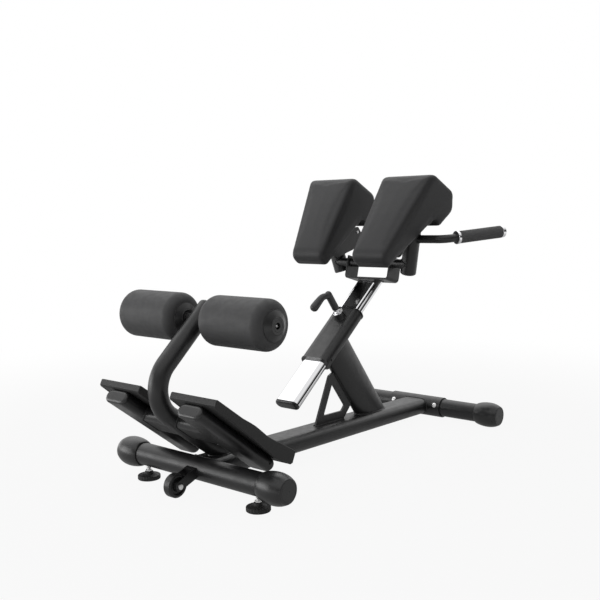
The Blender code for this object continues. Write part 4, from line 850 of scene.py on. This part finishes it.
# The slide tube is drawn steel, polished and chrome plated, so that the head runs easily in its liner.
# Its upper end is cut to the slant of the bracket that is welded on it. The liner is a nylon bush whose
# collars lip over both mouths of the sleeve.
TUBE_LOW = -0.262
TUBE_LENGTH = 0.60
LINER_EASE = 0.0008
BRACKET_UP = Vector((0.258819, 0, 0.965926))
slide_up = Vector((-0.616357, 0, 0.787467))
chrome = Finish("chrome_plate", "chrome", metallic=1.0)
haze = chrome.cloud(30, 3.0)
chrome.set({"Base Color": chrome.tint(haze, (0.74, 0.74, 0.75), (0.80, 0.80, 0.81)),
            "Roughness": chrome.cloud(90, 4.0).ramp(0.3, 0.7, 0.05, 0.11)})


def on_slide(along, lateral, above):
    """Place in the slide's frame: up its slope, sideways and square above its axis."""
    return SLEEVE + slide_run * along + sideways * lateral + slide_up * above


tube_shell = bmesh.new()
tube_outline = oval(0.0844, 0.0324, 40)
rim = [tube_shell.verts.new(on_slide(TUBE_LOW, wide, through)) for wide, through in tube_outline]
pulled = bmesh.ops.extrude_face_region(tube_shell, geom=[tube_shell.faces.new(rim)])
moved = [item for item in pulled["geom"] if isinstance(item, bmesh.types.BMVert)]
bmesh.ops.translate(tube_shell, verts=moved, vec=slide_run * TUBE_LENGTH)
under_bracket = SLEEVE + slide_run * 0.271757 + BRACKET_UP * 0.003
bmesh.ops.bisect_plane(tube_shell, geom=tube_shell.verts[:] + tube_shell.edges[:] + tube_shell.faces[:],
                       plane_co=under_bracket, plane_no=BRACKET_UP, clear_outer=True)
bmesh.ops.holes_fill(tube_shell, edges=[edge for edge in tube_shell.edges if edge.is_boundary])
bmesh.ops.recalc_face_normals(tube_shell, faces=tube_shell.faces)
detailed("slide_tube", tube_shell, chrome, 50)
own_form("slide_liner", moulded, LINER_EASE)


# Small blackened grub screws with hexagon sockets: one through each flank of the sleeve pins the liner,
# and one in the low end of each foot support holds its plate.
GRUB_KEY = (0.0017, 0.0020)
oxide = Finish("black_oxide", "rubber_black")
oiled = oxide.cloud(400)
oxide.set({"Base Color": oxide.tint(oiled, (0.0015, 0.0015, 0.0015), (0.003, 0.003, 0.003)),
           "Roughness": oxide.cloud(900, 3.0).ramp(0.3, 0.7, 0.62, 0.76),
           "Specular IOR Level": 0.15})
grub = [(0, -0.0010), (0.0030, -0.0010), (0.0030, 0.0003), (0.0027, 0.0006), (0.0019, 0.0006),
        (0.0018, 0.0001), (0, 0.0001)]
grub_screws = []
for side in (1, -1):
    in_sleeve = on_slide(-0.0795, side * 0.0498, 0)
    in_support = on_plate(0.2922, side * 0.1755, SUPPORT_DEPTH)
    grub_screws.append(spun(grub, in_sleeve, sideways * side, 36, six=GRUB_KEY))
    grub_screws.append(spun(grub, in_support, sideways * side, 36, six=GRUB_KEY))
finish_mesh("grub_screws", joined(grub_screws), oxide, "base")


# The clamp: a flared boss welded on the sleeve, a chrome screw with a wide washer and a hexagon collar,
# and a bent lever of black plastic moulded round the screw's head, with a small stop screw beside it.
CLAMP_ALONG = 0.078
LEVER_VOXEL = 0.0011
LEVER_SWELL = 0.0007
clamp_at = on_slide(CLAMP_ALONG, 0, 0)
boss = [(0.0064, 0.0240), (0.0192, 0.0240), (0.0186, 0.0252), (0.0172, 0.0300), (0.0165, 0.0360),
        (0.0162, 0.0406), *curve_points((0.0148, 0.0409), 0.0014, 0, 90, 4), (0.0072, 0.0423),
        (0.0064, 0.0417)]
detailed("clamp_boss", spun(boss, clamp_at, slide_up, closed=True), powder)
shaft = [(0, 0.0168), (0.0060, 0.0168), (0.0060, 0.0429), (0.0146, 0.0429), (0.0151, 0.0433),
         (0.0151, 0.0444), (0.0146, 0.0449), (0.0108, 0.0450),
         *curve_points((0.0100, 0.0455), 0.0010, -20, 0, 2),
         *curve_points((0.0100, 0.0468), 0.0010, 0, 80, 3), (0.0088, 0.0480), (0.0093, 0.0487),
         (0.0093, 0.0556), (0.0087, 0.0566), (0.0070, 0.0569), (0.0060, 0.0569), (0.0060, 0.0800),
         (0, 0.0800)]
detailed("clamp_screw", spun(shaft, clamp_at, slide_up, 60, six=(0.0090, 0.0095)), chrome)
stop = [(0, 0.0440), (0.0026, 0.0440), (0.0026, 0.0448), (0.0044, 0.0448),
        *curve_points((0.0039, 0.0512), 0.0005, 0, 90, 3), (0.0028, 0.0517), (0.0024, 0.0514),
        (0.0024, 0.0478), (0, 0.0477)]
stop_screw = spun(stop, on_slide(0.0825, -0.0125, 0), slide_up, 48, six=(0.0020, 0.00255))
finish_mesh("clamp_stop_screw", stop_screw, zinc, nodes["clamp_screw"]["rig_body"])
lever = shell_of(evenly_meshed(merged("clamp_lever"), LEVER_VOXEL))
smooth(lever, 5)
shrink(lever, -LEVER_SWELL)
lever_plastic = Finish("lever_plastic", "cap_black")
worn = lever_plastic.cloud(40, 3.0)
lever_plastic.set({"Base Color": lever_plastic.tint(worn, (0.034, 0.034, 0.035), (0.042, 0.042, 0.043)),
                   "Roughness": lever_plastic.cloud(200, 3.0).ramp(0.3, 0.7, 0.40, 0.48)})
detailed("clamp_lever", lever, lever_plastic, 180)


# The handles are thin steel tubes bent once and welded to the posts. Each carries a ribbed grip of soft
# rubber between a chrome ring and a chrome end cup.
HANDLE_RADIUS = 0.0125
HANDLE_BEND = 0.040
HANDLE_SPREAD = math.radians(25)
HANDLE_RISE = math.radians(5)
GRIP_STEPS = 144
grip_rubber = Finish("grip_rubber", "grip_rubber")
dust = grip_rubber.cloud(50, 3.0)
grip_rubber.set({"Base Color": grip_rubber.tint(dust, (0.086, 0.086, 0.087), (0.098, 0.098, 0.099)),
                 "Roughness": grip_rubber.cloud(160, 3.0).ramp(0.3, 0.7, 0.62, 0.74)})
grip_rubber.relief(grip_rubber.cloud(900, 3.0), 0.00018, 0.6)
grip = [(0.0128, 0.0528), (0.0182, 0.0528), *curve_points((0.0180, 0.0538), 0.0010, -60, 0, 3),
        *curve_points((0.0180, 0.2098), 0.0010, 0, 60, 3), (0.0182, 0.2108), (0.0128, 0.2108)]
collar = [(0.0128, 0.0435), (0.0185, 0.0435), *curve_points((0.0187, 0.0453), 0.0018, -80, 0, 5),
          *curve_points((0.0191, 0.0511), 0.0014, 0, 90, 5), (0.0128, 0.0525)]
cup = [(0, 0.2191), (0.0128, 0.2191), (0.0128, 0.2111), (0.0182, 0.2111), (0.0190, 0.2118),
       (0.0190, 0.2196), *curve_points((0.0155, 0.2196), 0.0035, 0, 80, 7), (0.0080, 0.2232),
       (0, 0.2233)]
for name, side in (("left", 1), ("right", -1)):
    corner = Vector((0.30309, side * 0.268, 0.63551))
    level = Vector((math.cos(HANDLE_SPREAD), side * math.sin(HANDLE_SPREAD), 0)) * math.cos(HANDLE_RISE)
    out = level + Vector((0, 0, math.sin(HANDLE_RISE)))
    start = corner - sideways * side * 0.110
    bar = rod_along(bend(start, corner, corner + out * 0.2188, HANDLE_BEND), HANDLE_RADIUS, resolution=10)
    detailed("handle_" + name, bar, powder)
    sleeve = spun(grip, (0, 0, 0), (0, 0, 1), GRIP_STEPS, closed=True)
    for vert in sleeve.verts:
        turn = round(math.atan2(vert.co.y, vert.co.x) / (2 * math.pi / GRIP_STEPS))
        if vert.co.xy.length > 0.0184 and turn % 6 == 0:
            vert.co.xy = vert.co.xy * 0.955
    placed = Matrix.Translation(corner) @ out.to_track_quat("Z", "Y").to_matrix().to_4x4()
    bmesh.ops.transform(sleeve, verts=sleeve.verts, matrix=placed)
    detailed("grip_" + name, sleeve, grip_rubber, 50)
    detailed("grip_ring_" + name, spun(collar, corner, out, closed=True), chrome)
    detailed("grip_end_" + name, spun(cup, corner, out), chrome)


# The pads are bolted through the flanges of their brackets with hexagon bolts and plain washers.
# A button screw holds the inner edge of each web.
HEEL = Vector((0.309621, 0, 0.676661))
BOLT_PLACES = ((-0.024, 0.090), (-0.122, 0.090), (-0.122, 0.164))
up_back = Vector((0.7935, 0, 0.6086))
into_pad = Vector((-0.6086, 0, 0.7935))
bolt_head = [(0, -0.0135), (0.0052, -0.0135), (0.0064, -0.0131), (0.0068, -0.0127), (0.0068, -0.0086),
             (0.0072, -0.0084), (0.0092, -0.0082), (0.0095, -0.0078), (0.0095, -0.0070),
             (0.0090, -0.0062), (0, -0.0062)]
web_screw = button_screw(0.0050, 0.0, 0.0028, 0.002, -0.001, 0.0016)
pad_bolts = []
for side in (1, -1):
    for along, lateral in BOLT_PLACES:
        place = HEEL + up_back * along + sideways * side * lateral
        pad_bolts.append(spun(bolt_head, place, into_pad, 48, six=(0.0066, 0.00705)))
    place = HEEL + up_back * -0.002 + into_pad * -0.024 + sideways * side * 0.068
    pad_bolts.append(spun(web_screw, place, sideways * -side, 36, six=(0.0012, 0.0017)))
finish_mesh("pad_bolts", joined(pad_bolts), zinc, "head")
